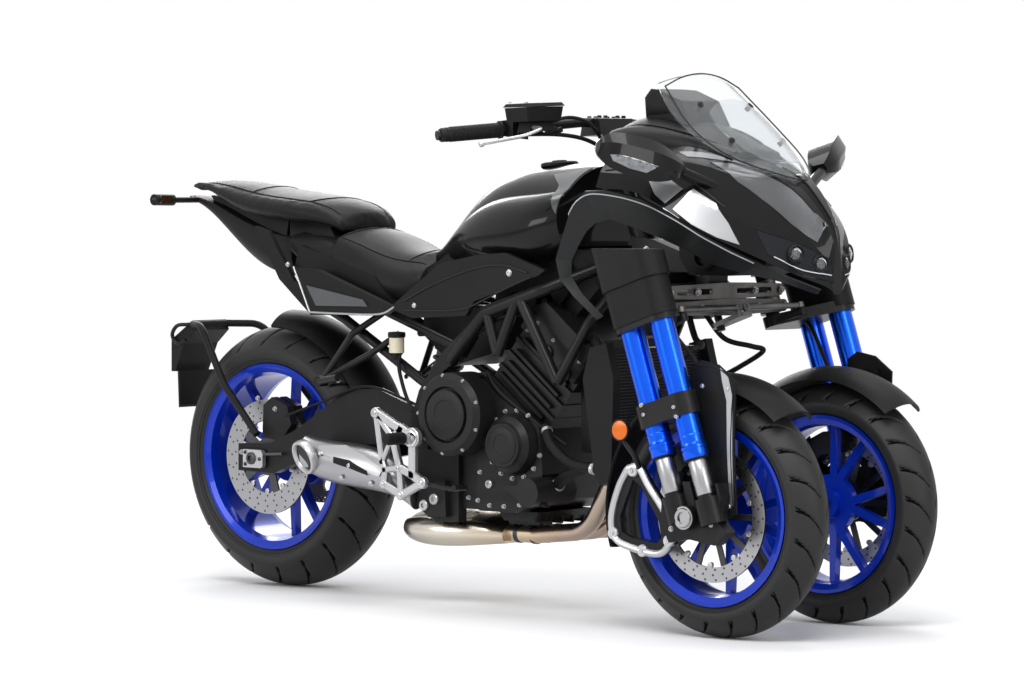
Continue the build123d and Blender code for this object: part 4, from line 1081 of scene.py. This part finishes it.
bracketSetup = {
    # corners of the open plate as (x, z), struts between them with their widths, bosses with their radii
    "corners": {"rear": (-208, 458), "top": (-128, 421), "peg": (-93, 404), "web": (-157, 403), "tail": (-188, 343),
                "elbow": (-134, 332), "heel": (-179, 325), "front": (-93, 317), "toe": (-62, 300), "low": (-182, 291),
                "foot": (-128, 268)},
    "struts": (("rear", "top", 16), ("top", "peg", 20), ("rear", "web", 12), ("rear", "tail", 12), ("tail", "web", 9),
               ("top", "web", 14), ("web", "elbow", 13), ("peg", "front", 16), ("tail", "heel", 12),
               ("heel", "elbow", 12), ("elbow", "front", 15), ("front", "toe", 16), ("low", "foot", 14),
               ("foot", "toe", 14), ("heel", "low", 12), ("elbow", "foot", 12)),
    "bosses": {"rear": 13, "peg": 24, "toe": 14, "elbow": 11, "low": 11, "foot": 12},
    "inner": 235, "outer": 248, "thicken": 1.35, "ease": 3.0,
}
pegSetup = {
    "x": -100, "z": 404, "hinge": [(19, -1), (19, 1.5), (17, 2.5), (12, 2.5), (11, 0.5)],
    "lug": [(dx, y, dz) for y, wide, low, high in ((250, 12, -10, 12), (268, 13, -6, 10))
            for dz in (low, high) for dx in (-wide, wide)],
    "rubber": [(10, 0), (13, 3), (13, 60), (11, 64), (5, 65)], "ridge": [(13, 0), (14.4, 1), (14.4, 4.5), (13, 5.5)],
    "ridges": 6,
}
pedalSetup = {
    "arm": [(-96, 236, 300), (-40, 232, 296), (30, 238, 290), (78, 250, 296)],
    "tip": [(78, 250, 296), (80, 268, 297), (80, 292, 298)],
}


def addStrut(pile, start, end, width, low, high, ease):
    start, end = Vector(start), Vector(end)
    along = (end - start).normalized()
    across = Vector((-along.y, along.x))
    points = []
    for place in (start - along * width * 0.3, end + along * width * 0.3):
        for turn in (-1, 1):
            wide = place + across * turn * width / 2
            slim = place + across * turn * (width / 2 - ease)
            points += [(wide.x, low, wide.y), (slim.x, high, slim.y), (wide.x, high + (low - high) * 0.25, wide.y)]
    addHull(pile, points)


for side, name in sides:
    out = (0, side, 0)
    low, high = side * bracketSetup["inner"], side * bracketSetup["outer"]
    bracket, hardware, pegRubber = newPile(), newPile(), newPile()
    corners = bracketSetup["corners"]
    for start, end, width in bracketSetup["struts"]:
        addStrut(bracket, corners[start], corners[end], width * bracketSetup["thicken"], low, high,
                 bracketSetup["ease"])
    for corner, radius in bracketSetup["bosses"].items():
        x, z = corners[corner]
        addLathe(bracket, (x, low, z), out, [(radius, 0), (radius, 12), (radius - 2, 14.5), (radius * 0.5, 14.5),
                                             (radius * 0.45, 12)], 28)
        addBolt(hardware, (x, side * 249, z), out, min(6, radius * 0.45), 4)
    addLathe(hardware, (-93, side * 249, 404), out, pegSetup["hinge"], 32)
    # folding peg with its rubber
    x, z = pegSetup["x"], pegSetup["z"]
    addHull(bracket, [(x + dx, side * y, z - 6 + dz) for dx, y, dz in pegSetup["lug"]])
    addLathe(pegRubber, (x, side * 264, z), out, pegSetup["rubber"], 24)
    for row in range(pegSetup["ridges"]):
        addLathe(pegRubber, (x, side * (270 + row * 9), z), out, pegSetup["ridge"], 24)
    heel = finishPile(bracket, "heelBracket_" + name, "silverAlloy", "chassis", 30)
    if side < 0:
        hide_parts("footpegs")
    finishPile(hardware, "heelBracketBolts_" + name, "chrome", "chassis")
    finishPile(pegRubber, "pegRubber_" + name, "rubber", "chassis")
    makeTubes(("brakePedal_" if side < 0 else "shiftLever_") + name, "blackMetal", "chassis",
              [(5.5, 10, 6, flipped(pedalSetup["arm"], side)), (7, 10, 4, flipped(pedalSetup["tip"], side))])

# muffler: outlet, shield and cap screws, and the header's bands

mufflerSetup = {
    "outlet": (-450, -237, 340), "facing": (-0.25, -0.9, -0.35),
    # the mouth is a dark disc just inside the outlet: painted shade in the pipe
    "rim": [(42, -16), (43, -3), (41, 3), (36, 4), (33, 1), (31, -8)], "outletShade": [(31.5, -9), (31.5, -4), (3, -4)],
    # side view outlines, finish, lift, thickness
    "panels": {
        "heatShield": ([(-412, 368), (-330, 372), (-262, 352), (-206, 324), (-214, 306), (-280, 322), (-350, 344),
                        (-408, 352)], "silverAlloy", 4.0, 2.0),
        "shieldSlot": ([(-352, 346), (-300, 340), (-246, 318), (-244, 308), (-296, 322), (-350, 332)],
                       "mattePlastic", 5.2, 1.0),
    },
    "bolts": ((-398, 352), (-300, 328), (-240, 290), (-330, 300)),
    "bands": [(x, y * 0.47, 176) for x in (60, 110) for y in (-85, 0, 85)],
    "band": [(20.3, 0), (22, 1), (22, 12), (20.3, 13)],
}
mufflerTree = surfaceTree("muffler")
outlet, outletShade, shieldBolts, bands = newPile(), newPile(), newPile(), newPile()
addLathe(outlet, mufflerSetup["outlet"], mufflerSetup["facing"], mufflerSetup["rim"], 44)
# painted shade: a dark disc a little inside the outlet's rim
addLathe(outletShade, mufflerSetup["outlet"], mufflerSetup["facing"], mufflerSetup["outletShade"], 36)
for name, (outline, finish, lift, thick) in mufflerSetup["panels"].items():
    drapePanel(name, mufflerTree, outline, 1, -1, finish, lift=lift, thick=thick)
for x, z in mufflerSetup["bolts"]:
    hit, normal = castOn(mufflerTree, 1, -1, x, z)
    if hit is not None:
        addBolt(shieldBolts, hit / millimetre + normal * 4, normal, 5, 4)
for place in mufflerSetup["bands"]:
    addLathe(bands, place, (1, 0, 0), mufflerSetup["band"], 28)
finishPile(outlet, "mufflerOutlet", "silverAlloy", "chassis")
finishPile(outletShade, "mufflerOutletShade", "castBlack", "chassis")
finishPile(shieldBolts, "shieldBolts", "chrome", "chassis")
finishPile(bands, "headerBands", "darkSteel", "chassis")
print("bracket and muffler dressed")

# drive chain of separate links round both sprockets

chainSetup = {
    # sprockets as x, z and the radius of the chain's line
    "rear": (-709, 322.8, 118.9), "front": (-42, 402, 40.8), "y": 108, "pitch": 15.9,
    # plates: half height, and how far inner and outer plates stand from the middle
    "plate": 6.2, "inner": 5.2, "outer": 6.9, "thick": 1.5,
    "plateEnd": ((-0.9, 0.35), (-0.45, 0.95), (0.45, 0.95), (0.9, 0.35)),
    "roller": [(2.4, 0), (2.4, 2), (4.4, 2.2), (4.4, 15), (2.4, 15.2), (2.4, 17.2)],
    "teeth": 48, "tooth": ((106, -5), (106, 5), (113.6, -2), (113.6, 2)), "toothHalf": 2.6,
}


def arcPoints(x, z, radius, begin, end, count):
    turns = [begin + (end - begin) * step / (count - 1) for step in range(count)]
    return [Vector((x + radius * math.cos(turn), z + radius * math.sin(turn))) for turn in turns]


def chainRoute():
    # points a link apart along the taut loop
    x1, z1, r1 = chainSetup["rear"]
    x2, z2, r2 = chainSetup["front"]
    base = math.atan2(z2 - z1, x2 - x1)
    lean = math.acos((r1 - r2) / math.hypot(x2 - x1, z2 - z1))
    path = arcPoints(x1, z1, r1, base + lean, base + 2 * math.pi - lean, 200)
    path += arcPoints(x2, z2, r2, base - lean, base + lean, 80)
    path.append(path[0])
    lengths = [0.0]
    for a, b in zip(path, path[1:]):
        lengths.append(lengths[-1] + (b - a).length)
    count = int(lengths[-1] / chainSetup["pitch"] / 2) * 2
    spots, index = [], 0
    for link in range(count):
        want = lengths[-1] * link / count
        while lengths[index + 1] < want:
            index += 1
        share = (want - lengths[index]) / max(lengths[index + 1] - lengths[index], 1e-6)
        spots.append(path[index].lerp(path[index + 1], share))
    return spots


spots = chainRoute()
links, rollers = newPile(), newPile()
for index, start in enumerate(spots):
    end = spots[(index + 1) % len(spots)]
    along = (end - start).normalized()
    across = Vector((-along.y, along.x))
    low = chainSetup["inner"] if index % 2 else chainSetup["outer"]
    outline = [place + (along * forward * reach + across * turn) * chainSetup["plate"]
               for place, forward in ((start, -1), (end, 1)) for turn, reach in chainSetup["plateEnd"]]
    for side in (-1, 1):
        addHull(links, [(spot.x, chainSetup["y"] + side * level, spot.y) for spot in outline
                        for level in (low, low + chainSetup["thick"])])
    addLathe(rollers, (start.x, chainSetup["y"] - 8.6, start.y), (0, 1, 0), chainSetup["roller"], 10)
chainPiece = finishPile(links, "chainLinks", "darkSteel", "chassis", 30)
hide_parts("drive_chain")
finishPile(rollers, "chainRollers", "brushedSteel", "chassis", 30)
teeth = []
for step in range(chainSetup["teeth"]):
    cosine, sine = turned(step, chainSetup["teeth"])
    teeth.append([(rearAxle["x"] + radius * cosine - wide * sine, chainSetup["y"] + y,
                   rearAxle["z"] + radius * sine + wide * cosine)
                  for radius, wide in chainSetup["tooth"] for y in (-chainSetup["toothHalf"], chainSetup["toothHalf"])])
makeHulls("sprocketTeeth", "darkSteel", "wheel_rear", teeth)
print("chain linked", len(spots))

# handlebar: grips, switch housings, levers, hoses

barSetup = {
    # the bar's bend and end on the left
    "bend": (264, 200, 1130), "end": (150, 432, 1108),
    "grip": [(16.6, 0), (16.6, 134)], "ridge": [(16.4, 0), (17.5, 0.8), (17.5, 3.6), (16.4, 4.4)], "ridges": 20,
    "collar": [(17, 0), (21, 1), (21, 5), (18, 7)], "weight": [(11, 0), (16, 1), (16, 12), (14, 15), (6, 15)],
}
switchSetup = {
    # corners about the housing's centre, which is this far along the bar
    "along": 74,
    "housing": [(-28, -34, -18), (-26, 24, -14), (20, -34, -24), (22, 22, -20), (-24, -32, 18), (-20, 22, 18),
                (22, -30, 24), (20, 20, 22), (0, -36, 26), (30, 0, 0)],
    "neck": [(-14, -92, -10), (-14, -30, -14), (16, -92, -10), (18, -30, -16), (-12, -90, 16), (-12, -30, 20),
             (14, -90, 16), (16, -30, 20)],
    "buttons": ((-14, 8), (4, 8), (-2, -8)), "button": [(5.5, 0), (5.5, 4), (4.5, 5.4)],
}
cylinderSetup = {
    # corners of the cylinder, the reservoir over it and its lid
    "cylinder": [(280, 216, 1120), (280, 306, 1114), (318, 216, 1122), (318, 306, 1116), (282, 222, 1144),
                 (284, 302, 1138), (314, 222, 1146), (312, 300, 1140)],
    "reservoir": [(268, 206, 1142), (268, 326, 1138), (326, 206, 1144), (326, 322, 1140), (266, 200, 1174),
                  (266, 332, 1170), (328, 200, 1176), (328, 328, 1172)],
    "lid": [(263, 197, 1175), (263, 335, 1171), (331, 197, 1177), (331, 331, 1173), (268, 203, 1183),
            (268, 330, 1179), (326, 203, 1185), (326, 326, 1181)],
    "screws": ((274, 208), (274, 324), (320, 208), (320, 320)), "clamps": (214, 196),
}
leverSetup = {
    "path": [(304, 284, 1128), (340, 300, 1123), (330, 340, 1108), (290, 382, 1096), (258, 402, 1089)],
    "section": ((-1, -0.4), (-0.6, -1), (0.6, -1), (1, -0.4), (1, 0.4), (0.6, 1), (-0.6, 1), (-1, 0.4)),
    "width": 9, "taper": 3.5, "height": 4.2, "ball": [(5, -6), (7, -2), (7, 3), (4, 6)],
}
barHoseSetup = {
    "brake": [(300, 240, 1132), (330, 190, 1150), (330, 120, 1142), (318, 70, 1120), (312, 44, 1100)],
    "wires": [(280, 170, 1112), (306, 110, 1104), (314, 50, 1086)],
}


def barPoint(side, along):
    bend, end = Vector(barSetup["bend"]), Vector(barSetup["end"])
    place = bend + (end - bend).normalized() * along
    return Vector((place.x, side * place.y, place.z))


def addLever(pile, path, setup):
    # a flat bar that narrows towards its ball end
    up = Vector((0, 0, 1))
    rings = []
    for index, place in enumerate(path):
        across = aheadAt(path, index).cross(up).normalized()
        wide = setup["width"] - setup["taper"] * index / len(path)
        rings.append([(place + across * a * wide + up * b * setup["height"]) * millimetre
                      for a, b in setup["section"]])
    addRings(pile, rings)


for side, name in sides:
    out = (barPoint(side, 10) - barPoint(side, 0)).normalized()
    rubberPile, dark, bright = newPile(), newPile(), newPile()
    addLathe(rubberPile, barPoint(side, 104), out, barSetup["grip"], 32)
    for row in range(barSetup["ridges"]):
        addLathe(rubberPile, barPoint(side, 110 + row * 6), out, barSetup["ridge"], 28)
    addLathe(rubberPile, barPoint(side, 101), out, barSetup["collar"], 28)
    addLathe(dark, barPoint(side, 237), out, barSetup["weight"], 28)
    centre = barPoint(side, switchSetup["along"])
    for part in ("housing", "neck"):
        addHull(dark, [centre + Vector(corner) for corner in flipped(switchSetup[part], side)])
    for dy, dz in switchSetup["buttons"]:
        addLathe(bright if dz < 0 else rubberPile, centre + Vector((-26, side * dy, dz)), (-1, side * -0.2, 0.1),
                 switchSetup["button"], 14)
    for part in ("cylinder", "reservoir", "lid"):
        addHull(dark, flipped(cylinderSetup[part], side))
    for x, y in cylinderSetup["screws"]:
        addBolt(bright, (x, side * y, 1182), (0, 0, 1), 3.4, 2.4)
    for y in cylinderSetup["clamps"]:
        addTube(dark, [(296, side * 222, 1124), (300, side * y, 1118), (306, side * (y - 16), 1124)], 7, 10, 5)
    path = smoothPath(flipped(leverSetup["path"], side), 6)
    addLever(bright, path, leverSetup)
    addLathe(bright, path[-1], (-0.5, side * 0.3, -0.1), leverSetup["ball"], 16)
    grips = finishPile(rubberPile, "gripRings_" + name, "rubber", "handlebar")
    if side < 0:
        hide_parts("bar_controls")
    finishPile(dark, "switchHousing_" + name, "mattePlastic", "handlebar")
    finishPile(bright, "handLever_" + name, "silverAlloy", "handlebar")
    wires = [barPoint(side, 56) + Vector((0, 0, -14))] + flipped(barHoseSetup["wires"], side)
    makeTubes("barHoses_" + name, "rubber", "handlebar",
              [(4.2, 10, 8, flipped(barHoseSetup["brake"], side)), (4.8, 10, 8, wires)])
clampBits = newPile()
for x, z in ((276, 1150), (306, 1152)):
    for y in (-44, -22, 22, 44):
        addBolt(clampBits, (x, y, z), (0, 0, 1), 5, 5)
addLathe(clampBits, (318, 0, 1110), (0.4, 0, 1), [(17, 0), (17, 4), (14, 6), (8, 6), (8, 2)], 24)
finishPile(clampBits, "barClampBolts", "blackMetal", "handlebar")
print("controls made")

# tilting arms' bolts and the brake hoses on the legs

armSetup = {
    # each arm's height and middle, its pivots and half depth, then the centre pivots
    "arms": ((722, 615), (758, 602)), "pivots": (-205, -105, 105, 205), "half": 43,
    "centres": ((592, 36, 800), (600, 36, 720), (440, 36, 850)),
}
brakeHoseSetup = {
    "loop": [(640, 296, 690), (690, 262, 668), (742, 236, 610), (764, 252, 540), (762, 286, 500)],
    "end": [(762, 286, 500), (752, 292, 460), (744, 286, 430)],
}
armBolts = newPile()
for z, x in armSetup["arms"]:
    for y in armSetup["pivots"]:
        for front in (-1, 1):
            addBolt(armBolts, (x + front * armSetup["half"], y, z), (front, 0, 0), 6.5, 6)
for x, y, z in armSetup["centres"]:
    for side in (-1, 1):
        addBolt(armBolts, (x, side * y, z), (0, side, 0), 6, 5)
finishPile(armBolts, "tiltArmBolts", "silverAlloy", "chassis")
for side, name in sides:
    makeTubes("brakeHose_" + name, "rubber", "fork_" + name,
              [(5, 10, 8, flipped(brakeHoseSetup["loop"], side)), (3.6, 10, 6, flipped(brakeHoseSetup["end"], side))])
print("front end dressed")

# rear end: signals, flap, tail lamp, caliper details

rearSetup = {
    # the signal lens: its centre, and (y, half size) along it
    "signal": (-1000, 953), "signalSections": ((128, 9), (150, 14), (182, 14), (195, 7)),
    "tailLamp": [(-1040, 22, 950), (-1048, 16, 962), (-1020, 40, 946), (-1024, 38, 960)],
    # bolts by plane: on the right alone, then on both sides
    "rightBolts": {144: ((-690, 470), (-632, 446)), 150: ((-740, 336), (-690, 312))},
    "axleEnd": [(14, 0), (14, 5), (11, 7), (7, 7), (6.5, 2)],
    "sideBolts": ((122, ((-330, 704), (-590, 740), (-442, 522)), 5, 5), (207, ((173, 794),), 6.5, 4),
                  (207, ((-120, 712),), 5, 4), (175, ((-560, 800),), 5, 4)),
    "flap": ((-1049, 522), (-1043, 522), (-1040, 436), (-1045, 430)), "flapHalf": 64,
    "hook": [(-1010, -62, 640), (-1040, -74, 636), (-1062, -70, 612), (-1050, -62, 590), (-1024, -60, 600)],
    "capTop": [(19, -2), (21, 0), (21, 9), (19, 11), (8, 12)], "capFoot": [(10, -12), (12, 0), (17, 6), (17, 8)],
}
for side, name in sides:
    x, z = rearSetup["signal"]
    corners = [(x + right * size, y, z + up * size * 0.7) for y, size in rearSetup["signalSections"]
               for right, up in ((-1, -1), (1, -1), (1, 1), (-1, 1))]
    makeHulls("rearSignalLens_" + name, "darkAmber", "chassis", [flipped(corners, side)], 25)
makeHulls("tailLamp", "redLens", "chassis", [bothSides(rearSetup["tailLamp"])])
rearBolts = newPile()
for y, spots in rearSetup["rightBolts"].items():
    addSideBolts(rearBolts, -1, y, spots, 5, 5)
addLathe(rearBolts, (rearAxle["x"], -150, rearAxle["z"]), (0, -1, 0), rearSetup["axleEnd"], 28)
for side in (-1, 1):
    for y, spots, radius, height in rearSetup["sideBolts"]:
        addSideBolts(rearBolts, side, y, spots, radius, height)
finishPile(rearBolts, "rearBolts", "silverAlloy", "chassis")
makeHulls("mudFlap", "rubber", "chassis", [slab(rearSetup["flap"], (-rearSetup["flapHalf"], rearSetup["flapHalf"]))])
makeTubes("flapHook", "blackMetal", "chassis", [(5, 10, 6, rearSetup["hook"])])
reservoirCap = newPile()
addLathe(reservoirCap, (-227, -150, 634), (0, 0, 1), rearSetup["capTop"], 32)
addLathe(reservoirCap, (-227, -150, 590), (0, 0, 1), rearSetup["capFoot"], 24)
finishPile(reservoirCap, "reservoirCap", "mattePlastic", "chassis")

springSetup = {"low": (-226, 0, 446), "high": (-186, 0, 612), "turns": 7, "steps": 16, "radius": 34, "wire": 5.5}


def springCoil(setup):
    low, high = Vector(setup["low"]), Vector(setup["high"])
    first, second, _ = axesFrom(high - low)
    count = setup["turns"] * setup["steps"]
    coil = []
    for step in range(count + 1):
        cosine, sine = turned(step, setup["steps"])
        coil.append(low.lerp(high, step / count) + (first * cosine + second * sine) * setup["radius"])
    return coil


makeTubes("damperSpring", "darkSteel", "chassis", [(springSetup["wire"], 10, 1, springCoil(springSetup))])

# tank trim, seat seams, fender beads, and painted highlights on the fender edges and arch lips

tankSetup = {
    "panel": [(214, 1020), (300, 1034), (304, 930), (290, 948), (262, 996)], "cap": (150, 0),
    "capProfile": [(44, -2), (44, 4), (41, 7), (18, 8), (17, 11), (8, 12)],
}
tankTree = surfaceTree("fuel_tank")
for side, name in sides:
    drapePanel("tankPanel_" + name, tankTree, tankSetup["panel"], 1, side, "greyFacet", lift=1.6, step=9)
tankTrim = newPile()
capTop, capFacing = castOn(tankTree, 2, 1, *tankSetup["cap"])
addLathe(tankTrim, capTop / millimetre, capFacing, tankSetup["capProfile"], 48)
finishPile(tankTrim, "tankTrim", "mattePlastic", "chassis")

seamSetup = {
    # plan view lines on the left, run along each side, then lines across with their half widths
    "riderCushion": {"along": [(-190, 88), (-260, 108), (-360, 122), (-440, 122), (-560, 104)],
                     "across": (((-232, 100), (-222, 50), (-218, 0)), ((-430, 118), (-420, 60), (-418, 0)))},
    "passengerCushion": {"along": [(-470, 84), (-560, 98), (-700, 98), (-840, 76), (-980, 42)],
                         "across": (((-560, 98), (-548, 50), (-544, 0)), ((-760, 92), (-752, 50), (-750, 0)))},
}
seams = newPile()
for name, lines in seamSetup.items():
    data = cushions[name].data
    cushionTree = BVHTree.FromPolygons([vertex.co for vertex in data.vertices],
                                       [tuple(polygon.vertices) for polygon in data.polygons])
    for side in (-1, 1):
        drapeLine(seams, cushionTree, [(x, side * y) for x, y in lines["along"]], 2, 1, 1.4, 0.7)
    for half in lines["across"]:
        line = [(x, -y) for x, y in half] + list(half[-2::-1])
        drapeLine(seams, cushionTree, line, 2, 1, 1.3, 0.7)
finishPile(seams, "seatSeams", "seatLeather", "chassis")

fenderSetup = {
    "bead": [(796, 606), (846, 602), (888, 570), (888, 500), (886, 420), (893, 300)],
    # the edge outline is a bright strip on the fender's rolled edge: painted highlight
    "edge": [(856, 602), (878, 584), (890, 540), (890, 420), (894, 302), (884, 302), (876, 420), (874, 530),
             (862, 570)],
    "bolts": ((876, 556), (882, 300), (806, 560), (846, 290)), "boltsY": 294,
}
# a bright line along the arch cowls' lip: painted highlight
archHighlightLine = [(404, 900), (432, 946), (472, 976), (540, 975), (620, 958), (690, 926), (770, 876), (850, 828)]
archTree = surfaceTree("arch_cowls")
for side, name in sides:
    fenderTree = surfaceTree("fender_" + name)
    fenderBead, fenderBolts, lipHighlight = newPile(), newPile(), newPile()
    drapeLine(fenderBead, fenderTree, fenderSetup["bead"], 1, side, 1.6)
    addSideBolts(fenderBolts, side, fenderSetup["boltsY"], fenderSetup["bolts"], 4.6, 3.6)
    drapeLine(lipHighlight, archTree, archHighlightLine, 1, side, 1.8)
    finishPile(fenderBead, "fenderBead_" + name, "greyLip", "fork_" + name)
    finishPile(fenderBolts, "fenderBolts_" + name, "silverAlloy", "fork_" + name)
    finishPile(lipHighlight, "archHighlightLine_" + name, "brightPanel", "chassis")
    # painted highlight along the fender's rolled edge
    drapePanel("fenderEdgeHighlight_" + name, fenderTree, fenderSetup["edge"], 1, side, "brightPanel", "fork_" + name,
               lift=1.6, step=8)
print("trim laid")

# tail fillers, grey side panel and bright trim

seatPanSetup = {
    # corners on the left of the two fills across the tail, and the side fill as (x, z) with its levels
    "fills": ([(-640, 84, 918), (-500, 92, 896), (-470, 96, 850), (-620, 104, 866), (-560, 112, 880)],
              [(-968, 26, 964), (-950, 34, 950), (-640, 84, 924), (-640, 96, 866), (-800, 62, 886)]),
    "side": ((-556, 792), (-540, 846), (-300, 780), (-236, 712), (-430, 702)), "levels": (112, 156),
}
tailSetup = {
    # the backing plate at its inner and outer face, the grey panel on it and its trim
    "backing": ((192, ((-508, 794), (-455, 686), (-230, 686), (-182, 706), (-290, 736), (-430, 790))),
                (206, ((-511, 794), (-455, 689), (-230, 689), (-182, 706), (-290, 736), (-430, 787)))),
    "grey": ((-466, 752), (-434, 704), (-268, 706), (-282, 722)), "greyLevels": (204, 210),
    "trim": ([(-512, 205, 796), (-484, 206, 742), (-457, 207, 689)],
             [(-457, 207, 688), (-340, 207, 687), (-230, 207, 689), (-184, 206, 707)]),
    "ridges": ([(-150, 722), (-60, 762), (60, 800), (150, 812), (230, 796)],
               [(-150, 700), (0, 704), (80, 720), (160, 756), (240, 786)]),
}
makeHulls("seatPan", "mattePlastic", "chassis",
          [bothSides(fill) for fill in seatPanSetup["fills"]]
          + [slab(seatPanSetup["side"], seatPanSetup["levels"], side) for side in (-1, 1)])
panelTree = surfaceTree("side_panels", "tail_cowl")
for side, name in sides:
    backing = [(x, side * y, z) for y, outline in tailSetup["backing"] for x, z in outline]
    makeHulls("tailBacking_" + name, "mattePlastic", "chassis", [backing])
    makeHulls("greyTailPanel_" + name, "greyFacet", "chassis",
              [slab(tailSetup["grey"], tailSetup["greyLevels"], side)])
    makeTubes("tailTrim_" + name, "brightPanel", "chassis",
              [(2.6, 8, 4, flipped(points, side)) for points in tailSetup["trim"]])
    ridges = newPile()
    for points in tailSetup["ridges"]:
        drapeLine(ridges, panelTree, points, 1, side, 2.0)
    finishPile(ridges, "panelRidges_" + name, "greyLip", "chassis")

# dark masses between frame, engine and radiator

innerSetup = {
    # corners on the left of forms that run from side to side
    "forms": ([(40, 104, 700), (60, 112, 846), (300, 112, 850), (344, 90, 760), (280, 100, 690)],
              [(300, 96, 380), (296, 96, 600), (392, 96, 616), (402, 96, 380)],
              [(470, 112, 704), (468, 112, 800), (556, 108, 800), (562, 100, 712), (520, 104, 690)],
              [(-210, 78, 640), (-196, 84, 706), (60, 96, 706), (64, 96, 610), (-110, 80, 566)],
              [(-210, 96, 772), (-60, 112, 858), (40, 112, 880), (60, 112, 770), (-140, 96, 730)]),
    "lid": ((80, 760), (120, 830), (270, 836), (300, 770), (250, 716), (110, 712)), "lidLevels": (112, 124),
    "throats": ((120, 720), (210, 726)), "throat": [(30, 0), (30, 20), (26, 24), (10, 24), (9, 18)],
}
pivotSetup = {
    # side view plates on the right with their levels, and the pivot's cap
    "plates": (((-30, 520), (-120, 500), (-172, 430), (-178, 330), (-150, 236), (-104, 200), (-30, 204)),
               ((-60, 300), (-140, 290), (-150, 240), (-110, 212), (-56, 216))),
    "levels": ((122, 150), (150, 166)), "cap": (-110, -150, 420),
    "capProfile": [(34, 0), (34, 8), (30, 12), (16, 12), (14, 6), (0.1, 6)],
}
axleSetup = {
    "block": ((-728, 300), (-728, 344), (-668, 344), (-662, 336), (-662, 306), (-668, 300)), "levels": (146, 158),
    "nut": [(15, 0), (15, 4), (12, 6), (7, 6), (6.5, 2)], "bolts": ((-720, 308), (-720, 337), (-672, 322)),
    "adjuster": [(-662, 152, 334), (-600, 152, 338)],
}
centreHoseSetup = {
    # radius and points
    "right": (7.5, [(556, -30, 712), (596, -52, 652), (652, -100, 640), (664, -146, 630), (590, -160, 570),
                    (500, -140, 520)]),
    "left": (6, [(556, 30, 708), (592, 60, 648), (636, 104, 630), (640, 144, 618), (570, 150, 580), (490, 140, 540)]),
}
inner, pivot, axleBits = newPile(), newPile(), newPile()
for form in innerSetup["forms"]:
    addHull(inner, bothSides(form))
for side in (-1, 1):
    for x, z in innerSetup["throats"]:
        addLathe(inner, (x, side * 100, z), (0, side, 0), innerSetup["throat"], 32)
    addHull(inner, slab(innerSetup["lid"], innerSetup["lidLevels"], side))
    addLathe(axleBits, (-700, side * 157, rearAxle["z"]), (0, side, 0), axleSetup["nut"], 28)
    addSideBolts(axleBits, side, 158, axleSetup["bolts"], 4, 3)
    addTube(axleBits, flipped(axleSetup["adjuster"], side), 4, 10, 1)
finishPile(inner, "airBox", "mattePlastic", "chassis", 30)
for outline, levels in zip(pivotSetup["plates"], pivotSetup["levels"]):
    addHull(pivot, slab(outline, levels, -1))
addLathe(pivot, pivotSetup["cap"], (0, -1, 0), pivotSetup["capProfile"], 36)
finishPile(pivot, "pivotPlate", "castBlack", "chassis", 30)
makeHulls("axleBlocks", "silverAlloy", "chassis",
          [slab(axleSetup["block"], axleSetup["levels"], side) for side in (-1, 1)])
finishPile(axleBits, "axleBlockBolts", "darkSteel", "chassis")
makeTubes("centreHoses", "rubber", "chassis",
          [(radius, 12, 8, points) for radius, points in centreHoseSetup.values()])
print("fillers set")

# floor

floorSetup = {
    # side of the square and its drop below the object in metres, then where the white begins and is full
    "size": 40.0, "drop": 0.0005, "clear": 1.5, "white": 4.2, "colour": (0.86, 0.86, 0.87, 1), "rough": 0.9,
}


def makeFloor(setup):
    half, level = setup["size"] / 2, -setup["drop"]
    data = bpy.data.meshes.new("studioFloor")
    data.from_pydata([(x * half, y * half, level) for x, y in ((-1, -1), (1, -1), (1, 1), (-1, 1))], [],
                     [(0, 1, 2, 3)])
    floor = addToScene("studioFloor", data)
    material = bpy.data.materials.new("floorPaint")
    material.use_nodes = True
    tree = material.node_tree
    shader = tree.nodes["Principled BSDF"]
    setInputs(tree, shader, {"Base Color": setup["colour"], "Roughness": setup["rough"]})
    coords = addNode(tree, "TexCoord")
    away = addNode(tree, "VectorMath", {0: coords.outputs["Object"]}, operation="LENGTH")
    fade = addNode(tree, "MapRange", {"From Min": setup["clear"], "From Max": setup["white"],
                                      "Value": away.outputs["Value"]})
    seen = seenBy(tree, "Is Camera Ray", "Is Transmission Ray")
    weigh = addNode(tree, "Math", {0: fade.outputs["Result"], 1: seen}, operation="MULTIPLY")
    glow = addNode(tree, "Emission", {"Color": (1, 1, 1, 1)})
    mix = addNode(tree, "MixShader", {0: weigh.outputs[0], 1: shader.outputs[0], 2: glow.outputs[0]})
    setInputs(tree, tree.nodes["Material Output"], {"Surface": mix.outputs[0]})
    data.materials.append(material)


makeFloor(floorSetup)

print("scene ready")
